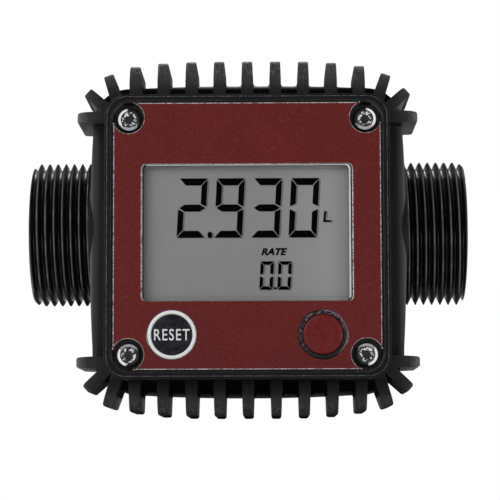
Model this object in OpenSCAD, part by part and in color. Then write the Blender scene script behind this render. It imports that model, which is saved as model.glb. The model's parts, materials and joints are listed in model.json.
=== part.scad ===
// In-line turbine flow meter with a square battery display.
// The origin is the middle of the inlet port's end face. The flow runs along +X,
// the display faces -Y, and +Z is up.

/* [Flow ports] */
// Length from the inlet port's face to the outlet port's face
port_span = 99.4; // [98:0.2:112]
// Outside diameter of the pipe thread on both ports
thread_d = 33.25; // [31:0.05:35]
// Bore of each port, from its face inward
port_bore_d = 24; // [22:0.2:25]
// Depth of the wide bore, down to the shoulder that the turbine's guide sits on
port_bore_depth = 20; // [18:0.5:20.5]
// Bore of the measuring duct that the turbine turns in
duct_d = 19; // [17:0.1:19]
// Bevel round the end of each port
port_bevel = 0.4; // [0.2:0.05:0.5]

/* [Casing] */
// Width of the casing between its flat sides, without the ribs
core_w = 70; // [68:0.5:74]
// Height of the casing between its flat sides, without the ribs
core_h = 68.4; // [68:0.1:72]
// How far the middle of each side swells beyond the flat
core_bulge = 0.8; // [0.6:0.05:1.6]
// Radius of the casing's upright corners
core_corner_r = 8.3; // [6:0.1:10]
// How far in front of the flow axis the casing ends, where the display housing joins it
casing_front = 23.9; // [23.4:0.1:26]
// How far in front of the flow axis the casing's shoulder is, round the display housing
shoulder_front = 17.6; // [15:0.1:19]
// Depth of the casing behind the flow axis
core_back = 18.5; // [18:0.5:21]
// Radius of the rounded edges of the casing's front and back
core_edge_r = 2.4; // [1:0.1:3]
// How far the casing's middle sits above the display's middle
core_rise = 0.8; // [0.4:0.1:1]
// How far the display sits below the flow axis
housing_drop = 3.5; // [2.6:0.1:3.6]

/* [Ribs] */
// Number of upright ribs on the top, and again on the bottom
rib_count = 9; // [5:2:9]
// Distance from one upright rib to the next
rib_pitch = 6.27; // [5.6:0.01:6.4]
// Thickness of a rib at its root
rib_root_t = 2.6; // [2.2:0.1:3]
// Thickness of a rib at its tip
rib_tip_t = 2.3; // [1.6:0.1:2.6]
// Length of the ribs from the front of the casing towards its back
rib_depth = 19.8; // [16:0.2:32]
// Radius of each rib's front corner
rib_nose_r = 2.6; // [1:0.1:3]
// Height across the tips of the middle ribs
rib_span = 79.9; // [77:0.1:84]
// How much lower the last upright ribs are than the middle ones
rib_drop = 1.1; // [0:0.1:2]
// Radius of the hollow between a rib and the casing
rib_fillet = 0.8; // [0.4:0.1:1]

/* [Casing back] */
// Depth of the grooves that lighten the casing's back
groove_depth = 3; // [1:0.1:4]
// Length of those grooves
groove_l = 48; // [30:0.5:52]

/* [Turbine] */
// Gap between the tips of the turbine's blades and the duct
tip_gap = 0.3; // [0.2:0.05:0.5]
// Number of blades, even so that the two magnets balance each other
blade_count = 6; // [4:2:8]
// Angle between the middle of a blade and the flow
blade_angle = 35; // [25:1:38]
// Length of the blades along the flow
blade_l = 7; // [6:0.1:7.4]
// Thickness of the blades
blade_t = 1.2; // [1:0.1:1.3]
// Radius that the blades are bent to
blade_bend_r = 20; // [16:1:40]
// Diameter of the hubs of the rotor and of the guides
hub_d = 8.4; // [8.4:0.1:9]
// Length of the rotor's hub
rotor_l = 11; // [9:0.5:12]
// Diameter of the turbine's shaft
shaft_d = 2.4; // [2:0.1:2.6]
// Radial running gap between the shaft and its bushes
running_gap = 0.04; // [0.02:0.01:0.08]
// Diameter of the bushes in the guides
bush_d = 4.8; // [4.4:0.1:5.4]
// Length of the bushes
bush_l = 3; // [2.5:0.1:4]
// Number of straightening vanes on each guide
vane_count = 4; // [3:1:6]
// Thickness of the vanes
vane_t = 1.4; // [1:0.1:2]
// Width of each guide's flange along the flow
flange_l = 3; // [2:0.1:4]
// Diameter of the two magnets in the rotor
magnet_d = 3; // [2:0.1:3.2]
// Thickness of the magnets
magnet_t = 1.6; // [1:0.1:2]

/* [Display housing] */
// Outside width and height of the square display housing
display_w = 62.8; // [62.4:0.1:64]
// Radius of the display housing's corners
display_corner_r = 4.8; // [4:0.1:6]
// Distance that the display housing stands in front of the casing
display_depth = 7.3; // [7.3:0.1:9]
// Thickness of the display housing's side walls
display_wall = 2; // [1.6:0.1:2.2]
// Thickness of the display housing's front wall, behind the face plate
front_wall = 2.3; // [2.2:0.1:2.8]
// Width and height of the coloured face plate
plate_w = 58.8; // [58.6:0.1:59.4]
// Thickness of the face plate
plate_t = 0.6; // [0.4:0.1:1]
// Height of the housing's rim above the seat of the face plate
rim_h = 0.7; // [0.5:0.1:1]

/* [Window] */
// Width of the window opening
window_w = 46.6; // [44:0.1:48]
// Height of the window opening
window_h = 30.3; // [28:0.1:31]
// How far the window's middle is above the middle of the plate
window_rise = 0.7; // [0.3:0.1:1]
// Radius of the window's corners
window_r = 1.1; // [0.6:0.1:2]
// Thickness of the clear window
lens_t = 1.4; // [1:0.1:1.5]

/* [Buttons] */
// Distance of each button from the plate's middle line
button_x = 16.5; // [15:0.1:17]
// How far the buttons are below the plate's middle
button_drop = 21.8; // [21.6:0.1:22]
// Outside diameter of the ring round each button
bezel_d = 10.7; // [10:0.1:10.8]
// Diameter of each button's cap
button_d = 8.84; // [8:0.02:9]
// Travel of each button
button_travel = 0.5; // [0.2:0.05:0.5]

/* [Display screws] */
// Distance of the display screws from the housing's sides
screw_inset = 5.3; // [5.1:0.05:5.4]
// Diameter of the well that each display screw sits in
screw_well_d = 7; // [6.6:0.1:7.2]
// Diameter of the display screws' thread
screw_d = 3; // [2.6:0.1:3.2]
// Diameter of the display screws' heads
screw_head_d = 5.3; // [5:0.1:5.8]
// Height of the display screws' heads
screw_head_h = 2; // [1.6:0.1:2.4]
// Depth of the heads below the face plate
screw_recess = 2.2; // [1.6:0.1:2.4]

/* [Electronics] */
// Thickness of the circuit board
board_t = 1.5; // [1:0.1:1.6]
// Thickness of the liquid crystal glass
glass_t = 2; // [1.6:0.1:2.2]
// Height of the rubber connectors between the glass and the board
connector_h = 1.8; // [1.4:0.1:2]
// Diameter of each battery cell
cell_d = 10.5; // [9:0.1:10.5]
// Length of each battery cell
cell_l = 44.5; // [42:0.1:44.6]

/* [Hidden] */
$fn = 64;

// Overrun of every cut beyond the face that it opens
cut = 1;
// Gap between pieces that are pressed or glued together
snug = 0.05;
// Gap between pieces that are only laid in
loose = 0.15;

// Colours
housing_black = [0.08, 0.08, 0.085];
seal_black = [0.03, 0.03, 0.03];
plate_red = [0.36, 0.10, 0.12];
steel = [0.72, 0.73, 0.75];
brass = [0.78, 0.62, 0.30];
board_green = [0.08, 0.33, 0.18];

// Depths of the stack behind the display, from the front: y grows towards the back
joint_y = -casing_front;
rim_y = joint_y - display_depth;
plate_seat_y = rim_y + rim_h;
plate_y = plate_seat_y - plate_t;
wall_back_y = plate_seat_y + front_wall;
glass_y = wall_back_y + loose;
glass_back_y = glass_y + glass_t;
board_y = glass_back_y + connector_h;
board_back_y = board_y + board_t;
cell_gap = 0.2;
cell_y = board_back_y + cell_gap + cell_d / 2;
well_floor_y = cell_y + cell_d / 2 + cell_gap;
pillar_gap = 1.75;
pillar_y = board_back_y + pillar_gap;

// Turbine: places along the flow are counted from the middle of the duct
hub_r = hub_d / 2;
rotor_r = duct_d / 2 - tip_gap;
blade_half = blade_l / 2 * tan(blade_angle) + blade_t;
blade_root = sqrt(hub_r * hub_r - blade_half * blade_half);
magnet_sink = 0.5;
magnet_wall = 0.7;
float_gap = 0.3;
bush_x = rotor_l / 2 + float_gap;
bush_proud = 0.3;
bush_floor = 0.5;
end_float = 0.2;
shaft_end = bush_x + bush_l - bush_floor - end_float;
guide_x = bush_x + bush_proud;
shoulder_x = port_span / 2 - port_bore_depth;
flange_x = shoulder_x + flange_l;
vane_end_margin = 0.5;
nose_l = 5;
nose_tip_r = 1.2;
nose_drop = hub_r - nose_tip_r;
nose_r = (nose_l * nose_l + nose_drop * nose_drop) / (2 * nose_drop);
ring_t = 0.9;
ring_w = 1.5;

// Low round seat where each port leaves the casing, clear of the sides' swell
port_seat_w = 0.6;
port_seat_lift = 0.2;
port_seat_x = core_w / 2 + core_bulge + port_seat_lift;

// Grooves in the casing's back
groove_back_w = rib_pitch - rib_root_t;

// How far the swell of each side ends short of the corners
swell_margin = 1;

// Ribs of the casing
rib_back_y = joint_y + rib_depth;
rib_sink = 0.6;
core_sink = core_w / 2 + core_bulge - display_w / 2 + rib_sink;
corner_sink = 3.5;
rib_tip_r = 0.6;
splay_angle = 18.4;
splay_root_gap = 4.6;
splay_root_x = rib_pitch * (rib_count - 1) / 2 + splay_root_gap;
splay_root_depth = 1.5;
splay_root_z = core_h / 2 - splay_root_depth;
splay_tip_drop = 2.65;
splay_tip_z = rib_span / 2 - splay_tip_drop;
corner_rib_angle = 42;
corner_rib_out = [1, -0.8];
corner_rib_tip = [core_w / 2 + corner_rib_out[0], core_h / 2 + corner_rib_out[1]];
corner_rib_length = 9.3;
side_rib_inset = 6.8;
side_rib_z = core_h / 2 - side_rib_inset;
side_rib_reach = 3.2;

// Display housing
display_inner_w = display_w - 2 * display_wall;
screw_pitch = display_w - 2 * screw_inset;
display_inner_r = display_corner_r - display_wall;
edge_step = 0.5;
groove_w = 0.4;
groove_h = 0.4;
plate_gap = 0.12;
plate_corner_r = 3.6;
boss_r = screw_well_d / 2 + 0.9;
screw_gap = 0.2;
screw_seat_y = plate_y + screw_recess + screw_head_h;
ledge_w = 1;
lens_sink = 0.3;
lens_y = plate_y + lens_sink;
lens_back_y = lens_y + lens_t;
window_seal_t = 0.25;
ledge_y = lens_back_y + window_seal_t;
seal_w = 1.2;
seal_t = 0.9;
insert_wall = 0.8;
insert_l = 6.5;
well_wall = 3;
boss_clearance = 0.4;

// Buttons
cap_t = 1.2;
bezel_proud = 0.3;
bezel_t = 1.8;
bezel_y = plate_y - bezel_proud;
bezel_seat_y = bezel_y + bezel_t;
cap_proud = 0.1;
cap_y = bezel_y - cap_proud;
cap_gap = 0.08;
stem_r = 1.6;
switch_w = 6;
plunger_reach = 0.8;
plunger_top_y = wall_back_y + loose;
switch_y = plunger_top_y + plunger_reach;

// Electronics
glass_w = window_w + 3;
glass_h = window_h + 3;
frame_rail = 1.6;
connector_w = 2.2;
board_w = 2 * (display_w / 2 - display_wall - 0.8);
board_corner_r = 2;
post_r = 2.4;
post_inset = 3;
post_z = screw_pitch / 2 - post_inset;
post_screw_r = 1;
post_head_r = 1.9;
post_head_h = 1.2;
holder_wall = 1.2;
contact_room = 2.6;
contact_t = 0.4;
sensor_w = 3;
sensor_t = 1.1;
sensor_board_w = 14;
sensor_board_h = 7;
sensor_board_t = 0.9;
// The cells lie above and below the sensor board
cell_z = sensor_board_h / 2 + loose + cell_gap + cell_d / 2;
pin_pitch = 2.54;
pin_w = 0.6;

// A drawing (x across, y up) made solid between two depths
module deep(front, back) {
    translate([0, back, 0])
        rotate([90, 0, 0])
            linear_extrude(back - front)
                children();
}

module at_flow() {
    translate([port_span / 2, 0, 0])
        children();
}

module at_display() {
    translate([port_span / 2, 0, -housing_drop])
        children();
}

module rounded_rect(w, h, r) {
    square([w - 2 * r, h], center = true);
    square([w, h - 2 * r], center = true);
    for (x = [-1, 1], y = [-1, 1])
        translate([x * (w / 2 - r), y * (h / 2 - r)])
            circle(r);
}

module rect_ring(w, h, r, band) {
    difference() {
        rounded_rect(w, h, r);
        rounded_rect(w - 2 * band, h - 2 * band, r - band);
    }
}

module at_corners(pitch) {
    for (x = [-1, 1], y = [-1, 1])
        translate([x * pitch / 2, y * pitch / 2])
            children();
}

// Shallow arc on one side of the casing, facing +x
module side_swell(reach, height) {
    half_chord = height / 2 - swell_margin;
    swell_r = (pow(half_chord, 2) + pow(core_bulge, 2)) / (2 * core_bulge);
    intersection() {
        translate([reach + core_bulge - swell_r, 0])
            circle(swell_r, $fn = 1440);
        translate([reach - core_bulge, -height / 2])
            square([2 * core_bulge, height]);
    }
}

module core_outline() {
    rounded_rect(core_w, core_h, core_corner_r);
    for (turn = [0, 180])
        rotate(turn) {
            side_swell(core_w / 2, core_h - 2 * core_corner_r);
            rotate(90)
                side_swell(core_h / 2, core_w - 2 * core_corner_r);
        }
}

// Front view of one rib, rooted at the origin and pointing up
module rib_front_view(reach, sink) {
    tip_half = rib_tip_t / 2 - rib_tip_r;
    polygon([
        [-rib_root_t / 2, -sink],
        [rib_root_t / 2, -sink],
        [rib_root_t / 2, 0],
        [rib_tip_t / 2, reach - rib_tip_r],
        [tip_half, reach],
        [-tip_half, reach],
        [-rib_tip_t / 2, reach - rib_tip_r],
        [-rib_root_t / 2, 0]
    ]);
    for (side = [-1, 1])
        translate([side * tip_half, reach - rib_tip_r])
            circle(rib_tip_r);
}

// Side view of one rib, with its front corner rounded: x is the depth, y the height
module rib_side_view(reach, sink) {
    polygon([
        [joint_y, -sink],
        [rib_back_y, -sink],
        [rib_back_y, reach],
        [joint_y + rib_nose_r, reach],
        [joint_y, reach - rib_nose_r]
    ]);
    translate([joint_y + rib_nose_r, reach - rib_nose_r])
        circle(rib_nose_r);
}

module rib(reach, sink) {
    intersection() {
        deep(joint_y, rib_back_y)
            rib_front_view(reach, sink);
        translate([-rib_root_t, 0, 0])
            rotate([90, 0, 90])
                linear_extrude(2 * rib_root_t)
                    rib_side_view(reach, sink);
    }
}

// Hollow curves where an upright rib meets the casing
module rib_fillets() {
    for (side = [0, 1])
        mirror([side, 0])
            translate([rib_root_t / 2, 0])
                difference() {
                    translate([-rib_fillet / 2, -rib_fillet])
                        square([rib_fillet * 3 / 2, rib_fillet * 2]);
                    translate([rib_fillet, rib_fillet])
                        circle(rib_fillet, $fn = 32);
                }
}

module upright_ribs(rise) {
    last = (rib_count - 1) / 2;
    for (i = [-last:last]) {
        root = core_h / 2 + rise + core_bulge * (1 - pow(i / (last + 1), 2));
        tip = rib_span / 2 + rise / 2 - rib_drop * pow(i / last, 4);
        translate([i * rib_pitch, 0, root]) {
            rib(tip - root, core_sink + core_rise);
            deep(core_edge_r - shoulder_front, rib_back_y)
                rib_fillets();
        }
    }
}

module corner_ribs() {
    translate([splay_root_x, 0, splay_root_z])
        rotate([0, splay_angle, 0])
            rib((splay_tip_z - splay_root_z) / cos(splay_angle), corner_sink);
    translate([corner_rib_tip[0], 0, corner_rib_tip[1]])
        rotate([0, 90 - corner_rib_angle, 0])
            translate([0, 0, -corner_rib_length])
                rib(corner_rib_length, 0);
    translate([core_w / 2, 0, side_rib_z])
        rotate([0, 90, 0])
            rib(side_rib_reach, core_sink);
}

module all_ribs() {
    for (flip = [0, 1])
        mirror([0, 0, flip]) {
            upright_ribs(flip == 0 ? core_rise : -core_rise);
            corner_ribs();
            mirror([1, 0, 0])
                corner_ribs();
        }
}

// Cross-section of the casing's core along its depth, with rounded front and back edges
module core_section(half) {
    depth = shoulder_front + core_back;
    translate([(core_back - shoulder_front) / 2, 0])
        rounded_rect(depth, 2 * half, core_edge_r);
}

module core() {
    width = core_w / 2 + core_bulge;
    height = core_h / 2 + core_bulge;
    intersection() {
        deep(-shoulder_front, core_back)
            translate([0, core_rise])
                core_outline();
        translate([-core_w, 0, core_rise])
            rotate([90, 0, 90])
                linear_extrude(2 * core_w)
                    core_section(height);
        translate([0, 0, -core_h])
            rotate([0, 0, 90])
                linear_extrude(2 * core_h)
                    core_section(width);
    }
    deep(joint_y, core_edge_r - shoulder_front)
        rounded_rect(display_w, display_w, display_corner_r);
}

module along_flow(from, to, r1, r2) {
    translate([from, 0, 0])
        rotate([0, 90, 0])
            cylinder(h = to - from, r1 = r1, r2 = r2);
}

module port(side) {
    end = port_span / 2;
    root = core_w / 2 - core_corner_r;
    seat_r = thread_d / 2 + port_seat_w;
    mirror([side < 0 ? 1 : 0, 0, 0]) {
        along_flow(root, port_seat_x, seat_r, seat_r);
        along_flow(root, end - port_bevel, thread_d / 2, thread_d / 2);
        along_flow(end - port_bevel, end, thread_d / 2, thread_d / 2 - port_bevel);
    }
}

module port_bore(side) {
    end = port_span / 2;
    mirror([side < 0 ? 1 : 0, 0, 0]) {
        along_flow(shoulder_x, end + cut, port_bore_d / 2, port_bore_d / 2);
        along_flow(0, shoulder_x + cut, duct_d / 2, duct_d / 2);
    }
}

// Pocket in the front of the casing for the cells, clear of the corner screws
module well_outline() {
    clear = screw_pitch - 2 * (screw_d / 2 + insert_wall + well_wall);
    square([display_inner_w, clear], center = true);
    square([clear, display_inner_w], center = true);
}

module meter_body() {
    color(housing_black)
        difference() {
            union() {
                at_display() {
                    core();
                    all_ribs();
                }
                at_flow()
                    for (side = [-1, 1])
                        port(side);
            }
            at_flow() {
                for (side = [-1, 1])
                    port_bore(side);
                deep(well_floor_y - cut, well_floor_y + sensor_t + loose)
                    square(sensor_w + 2 * loose, center = true);
            }
            at_display() {
                deep(joint_y - cut, pillar_y)
                    rounded_rect(display_inner_w, display_inner_w, display_inner_r);
                deep(pillar_y - cut, well_floor_y)
                    well_outline();
                deep(joint_y - cut, joint_y + seal_t)
                    seal_ring();
                deep(pillar_y - cut, pillar_y + insert_l + screw_d)
                    at_corners(screw_pitch)
                        circle(screw_d / 2 + insert_wall);
                deep(core_back - groove_depth, core_back + cut)
                    back_grooves();
            }
        }
}

// Slots with round ends, in line with the gaps between the upright ribs
module back_grooves() {
    last = rib_count / 2 - 1;
    for (i = [-last:last])
        translate([i * rib_pitch, 0])
            for (end = [-1, 1]) {
                translate([0, end * (groove_l - groove_back_w) / 4])
                    square([groove_back_w, (groove_l - groove_back_w) / 2], center = true);
                translate([0, end * (groove_l - groove_back_w) / 2])
                    circle(groove_back_w / 2);
            }
}

// Bent outline of a blade seen from its tip, with the flow along x
module blade_outline() {
    centre_r = blade_bend_r - blade_t / 2;
    intersection() {
        translate(centre_r * [-sin(blade_angle), cos(blade_angle)])
            difference() {
                circle(blade_bend_r);
                circle(blade_bend_r - blade_t);
            }
        square([blade_l, 2 * blade_l], center = true);
    }
}

module at_blade(k) {
    rotate([90 + 360 * k / blade_count, 0, 0])
        children();
}

// The places of the two magnets, in opposite blades
module at_magnets() {
    for (k = [0, blade_count / 2])
        at_blade(k)
            translate([0, 0, rotor_r - magnet_sink - magnet_t])
                children();
}

module turbine_rotor() {
    color("ivory")
        at_flow()
            difference() {
                union() {
                    along_flow(-rotor_l / 2, rotor_l / 2, hub_r, hub_r);
                    intersection() {
                        along_flow(-blade_l, blade_l, rotor_r, rotor_r);
                        union() {
                            for (k = [0:blade_count - 1])
                                at_blade(k)
                                    translate([0, 0, blade_root])
                                        linear_extrude(rotor_r - blade_root)
                                            blade_outline();
                            for (k = [0, blade_count / 2])
                                at_blade(k)
                                    translate([0, 0, blade_root])
                                        cylinder(h = rotor_r - blade_root, r = magnet_d / 2 + magnet_wall);
                        }
                    }
                }
                along_flow(-rotor_l, rotor_l, shaft_d / 2, shaft_d / 2);
                at_magnets()
                    cylinder(h = magnet_t + magnet_sink + cut, r = magnet_d / 2);
            }
}

module rotor_magnets() {
    color("silver")
        at_flow()
            at_magnets()
                cylinder(h = magnet_t, r = magnet_d / 2);
}

module rotor_shaft() {
    color(steel)
        at_flow()
            along_flow(-shaft_end, shaft_end, shaft_d / 2, shaft_d / 2);
}

module vanes(from, to, reach) {
    intersection() {
        along_flow(from, to, reach, reach);
        for (k = [0:vane_count - 1])
            rotate([360 * k / vane_count + 180 / vane_count, 0, 0])
                translate([from, -vane_t / 2, 0])
                    cube([to - from, vane_t, 2 * reach]);
    }
}

// Rounded nose of a guide's hub
module nose() {
    rotate([0, 90, 0])
        rotate_extrude()
            intersection() {
                translate([hub_r - nose_r, 0])
                    circle(nose_r);
                square([hub_r, nose_l]);
            }
}

// Hub with vanes that straighten the flow, held in the duct by its flange
module guide() {
    flange_r = port_bore_d / 2 - snug;
    vane_end = flange_x - vane_end_margin;
    difference() {
        union() {
            along_flow(guide_x, vane_end, hub_r, hub_r);
            translate([vane_end, 0, 0])
                nose();
            vanes(guide_x, vane_end, duct_d / 2 - snug);
            vanes(shoulder_x + snug, vane_end, duct_d / 2 + ring_w / 2);
            difference() {
                along_flow(shoulder_x, flange_x, flange_r, flange_r);
                along_flow(shoulder_x - cut, flange_x + cut, duct_d / 2, duct_d / 2);
            }
        }
        along_flow(guide_x - cut, bush_x + bush_l, bush_d / 2, bush_d / 2);
    }
}

module bush() {
    difference() {
        along_flow(bush_x, bush_x + bush_l, bush_d / 2, bush_d / 2);
        along_flow(
            bush_x - cut,
            bush_x + bush_l - bush_floor,
            shaft_d / 2 + running_gap,
            shaft_d / 2 + running_gap
        );
    }
}

// Open spring ring that keeps a guide on its shoulder
module spring_ring() {
    ring_r = port_bore_d / 2 - snug;
    mouth = ring_w * 2;
    translate([flange_x, 0, 0])
        rotate([90, 0, 90])
            linear_extrude(ring_t)
                difference() {
                    circle(ring_r);
                    circle(ring_r - ring_w);
                    translate([0, -ring_r])
                        square([mouth, 2 * mouth], center = true);
                }
}

module at_inlet() {
    at_flow()
        rotate([0, 0, 180])
            children();
}

module inlet_guide() {
    color("dimgray")
        at_inlet()
            guide();
}

module outlet_guide() {
    color("dimgray")
        at_flow()
            guide();
}

module inlet_bush() {
    color("gray")
        at_inlet()
            bush();
}

module outlet_bush() {
    color("gray")
        at_flow()
            bush();
}

module inlet_ring() {
    color(steel)
        at_inlet()
            spring_ring();
}

module outlet_ring() {
    color(steel)
        at_flow()
            spring_ring();
}

module seal_ring() {
    outer = display_w - 2 * (display_wall - seal_w) / 2;
    rect_ring(outer, outer, display_corner_r, seal_w);
}

module housing_seal() {
    color(seal_black)
        at_display()
            deep(joint_y, joint_y + seal_t)
                seal_ring();
}

module button_places() {
    for (side = [-1, 1])
        translate([side * button_x, -button_drop])
            children();
}

module window_outline(grow) {
    translate([0, window_rise])
        rounded_rect(window_w + 2 * grow, window_h + 2 * grow, window_r + max(grow, -window_r / 2));
}

// Screw bosses in the corners of the display housing
module boss_outline(gap) {
    inner = display_inner_w - 2 * gap;
    intersection() {
        rounded_rect(inner, inner, display_inner_r - gap);
        at_corners(screw_pitch)
            circle(boss_r);
    }
}

module display_housing() {
    lip = display_w - 2 * edge_step;
    seat = plate_w + 2 * plate_gap;
    color(housing_black)
        at_display()
            difference() {
                union() {
                    difference() {
                        union() {
                            deep(rim_y + edge_step, joint_y)
                                rounded_rect(display_w, display_w, display_corner_r);
                            deep(rim_y, rim_y + edge_step)
                                rounded_rect(lip, lip, display_corner_r - edge_step);
                        }
                        deep(wall_back_y, joint_y + cut)
                            rounded_rect(display_inner_w, display_inner_w, display_inner_r);
                    }
                    deep(wall_back_y, joint_y)
                        boss_outline(0);
                    deep(joint_y, pillar_y)
                        boss_outline(loose);
                    deep(wall_back_y, board_y)
                        for (z = [-1, 1])
                            translate([0, z * post_z])
                                circle(post_r);
                }
                // Seat of the face plate, with the fine groove round it
                deep(rim_y - cut, plate_seat_y)
                    rounded_rect(seat, seat, plate_corner_r + plate_gap);
                deep(rim_y - cut, rim_y + groove_h)
                    rounded_rect(
                        seat + 2 * groove_w,
                        seat + 2 * groove_w,
                        plate_corner_r + plate_gap + groove_w
                    );
                deep(rim_y - cut, ledge_y)
                    window_outline(0);
                deep(rim_y - cut, wall_back_y + cut)
                    window_outline(-ledge_w);
                deep(rim_y - cut, bezel_seat_y)
                    button_places()
                        circle(bezel_d / 2 + snug);
                deep(rim_y - cut, wall_back_y + cut)
                    button_places()
                        circle(stem_r + loose);
                deep(rim_y - cut, screw_seat_y)
                    at_corners(screw_pitch)
                        circle(screw_well_d / 2);
                deep(rim_y - cut, pillar_y + cut)
                    at_corners(screw_pitch)
                        circle(screw_d / 2 + screw_gap);
                deep(board_y - post_head_h, board_y + cut)
                    for (z = [-1, 1])
                        translate([0, z * post_z])
                            circle(post_screw_r);
            }
}

module face_plate() {
    color(plate_red)
        at_display()
            deep(plate_y, plate_seat_y)
                difference() {
                    rounded_rect(plate_w, plate_w, plate_corner_r);
                    window_outline(0);
                    at_corners(screw_pitch)
                        circle(screw_well_d / 2);
                    button_places()
                        circle(bezel_d / 2 + loose);
                }
}

module window_lens() {
    color("lightgray", 0.4)
        at_display()
            deep(lens_y, lens_back_y)
                window_outline(-loose);
}

module window_seal() {
    color(seal_black)
        at_display()
            deep(lens_back_y, ledge_y)
                difference() {
                    window_outline(-loose);
                    window_outline(-ledge_w);
                }
}

module display_screws() {
    color(steel)
        at_display() {
            deep(screw_seat_y - screw_head_h, screw_seat_y)
                at_corners(screw_pitch)
                    circle(screw_head_d / 2);
            deep(screw_seat_y, pillar_y + insert_l)
                at_corners(screw_pitch)
                    circle(screw_d / 2);
        }
}

module screw_inserts() {
    color(brass)
        at_display()
            deep(pillar_y + snug, pillar_y + insert_l)
                at_corners(screw_pitch)
                    difference() {
                        circle(screw_d / 2 + insert_wall);
                        circle(screw_d / 2);
                    }
}

module at_button(side) {
    at_display()
        translate([side * button_x, 0, -button_drop])
            children();
}

module button() {
    deep(cap_y, cap_y + cap_t)
        circle(button_d / 2);
    deep(cap_y + cap_t, plunger_top_y)
        circle(stem_r);
}

module bezel() {
    deep(bezel_y, bezel_seat_y)
        difference() {
            circle(bezel_d / 2);
            circle(button_d / 2 + cap_gap);
        }
}

module plunger() {
    deep(plunger_top_y, switch_y + snug)
        circle(stem_r);
}

module tact_switch() {
    difference() {
        deep(switch_y, board_y)
            square(switch_w, center = true);
        deep(switch_y - cut, switch_y + snug + button_travel + loose)
            circle(stem_r + loose);
    }
}

module reset_button() {
    color([0.07, 0.08, 0.12])
        at_button(-1)
            button();
}

module calibration_button() {
    color(plate_red)
        at_button(1)
            button();
}

module reset_bezel() {
    color("white")
        at_button(-1)
            bezel();
}

module calibration_bezel() {
    color([0.2, 0.2, 0.2])
        at_button(1)
            bezel();
}

module reset_plunger() {
    color("gold")
        at_button(-1)
            plunger();
}

module calibration_plunger() {
    color("gold")
        at_button(1)
            plunger();
}

module reset_switch() {
    color("silver")
        at_button(-1)
            tact_switch();
}

module calibration_switch() {
    color("silver")
        at_button(1)
            tact_switch();
}

module lcd_glass() {
    color([0.5, 0.5, 0.5])
        at_display()
            deep(glass_y, glass_back_y)
                translate([0, window_rise])
                    square([glass_w, glass_h], center = true);
}

module lcd_frame() {
    color(housing_black)
        at_display()
            deep(glass_y, board_y)
                translate([0, window_rise])
                    difference() {
                        square([glass_w + 2 * frame_rail, glass_h + 2 * frame_rail], center = true);
                        square([glass_w + 2 * loose, glass_h + 2 * loose], center = true);
                    }
}

module lcd_connectors() {
    color("lightpink")
        at_display()
            deep(glass_back_y, board_y)
                for (side = [-1, 1])
                    translate([0, window_rise + side * (glass_h / 2 - connector_w)])
                        square([glass_w - 2 * connector_w, connector_w], center = true);
}

module circuit_board() {
    color(board_green)
        at_display()
            deep(board_y, board_back_y)
                difference() {
                    rounded_rect(board_w, board_w, board_corner_r);
                    at_corners(screw_pitch)
                        circle(boss_r + boss_clearance);
                    for (z = [-1, 1])
                        translate([0, z * post_z])
                            circle(post_screw_r + loose);
                    translate([0, housing_drop])
                        square([4 * pin_pitch, pin_w + loose], center = true);
                }
}

module board_screws() {
    color(steel)
        at_display()
            for (z = [-1, 1])
                translate([0, 0, z * post_z]) {
                    deep(board_y - post_head_h, board_back_y)
                        circle(post_screw_r);
                    deep(board_back_y, board_back_y + post_head_h)
                        circle(post_head_r);
                }
}

module controller_chip() {
    chip_w = 9;
    chip_t = 1.4;
    color("black")
        at_display()
            deep(board_back_y, board_back_y + chip_t)
                translate([-screw_pitch / 4, chip_w / 2 - post_z])
                    square(chip_w, center = true);
}

module board_components() {
    part_w = 3;
    part_t = 1.2;
    color("tan")
        at_display()
            deep(board_back_y, board_back_y + part_t)
                for (i = [0:3])
                    translate([screw_pitch / 8 + i * part_w * 3 / 2, 2 * part_w - post_z])
                        square([part_w, 2 * part_w], center = true);
}

module sensor_board() {
    color(board_green)
        at_flow()
            deep(well_floor_y - sensor_board_t, well_floor_y)
                square([sensor_board_w, sensor_board_h], center = true);
}

module hall_sensor() {
    color("black")
        at_flow()
            deep(well_floor_y, well_floor_y + sensor_t)
                square(sensor_w, center = true);
}

module sensor_pins() {
    color("gold")
        at_flow()
            deep(board_y, well_floor_y - sensor_board_t)
                for (i = [-1:1])
                    translate([i * pin_pitch, 0])
                        square(pin_w, center = true);
}

module cell(z) {
    at_flow()
        translate([-cell_l / 2, cell_y, z * cell_z])
            rotate([0, 90, 0])
                cylinder(h = cell_l, d = cell_d);
}

module upper_cell() {
    color("goldenrod")
        cell(1);
}

module lower_cell() {
    color("goldenrod")
        cell(-1);
}

module battery_holder() {
    tray_l = cell_l + 2 * (contact_room + holder_wall);
    tray_h = 2 * cell_z + cell_d + 2 * (cell_gap + holder_wall);
    color(housing_black)
        at_flow()
            deep(board_back_y + loose, well_floor_y - loose)
                difference() {
                    square([tray_l, tray_h], center = true);
                    square([tray_l - 2 * holder_wall, tray_h - 2 * holder_wall], center = true);
                }
}

// Bent leaf contacts that press on the ends of the cells
module battery_contacts() {
    leaf = contact_room - contact_t;
    color(steel)
        at_flow()
            for (end = [0, 1], z = [-1, 1])
                mirror([end, 0, 0])
                    translate([cell_l / 2, cell_y, z * cell_z])
                        translate([0, 0, -cell_d / 4])
                            linear_extrude(cell_d / 2)
                                polygon([
                                    [contact_room, -cell_d / 2 + cell_gap],
                                    [contact_room, cell_d / 2 - cell_gap],
                                    [leaf, cell_d / 2 - cell_gap],
                                    [snug, contact_t],
                                    [snug, -contact_t],
                                    [snug + contact_t, -contact_t],
                                    [contact_room - contact_t, cell_d / 4],
                                    [contact_room - contact_t, -cell_d / 2 + cell_gap]
                                ]);
}

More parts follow.
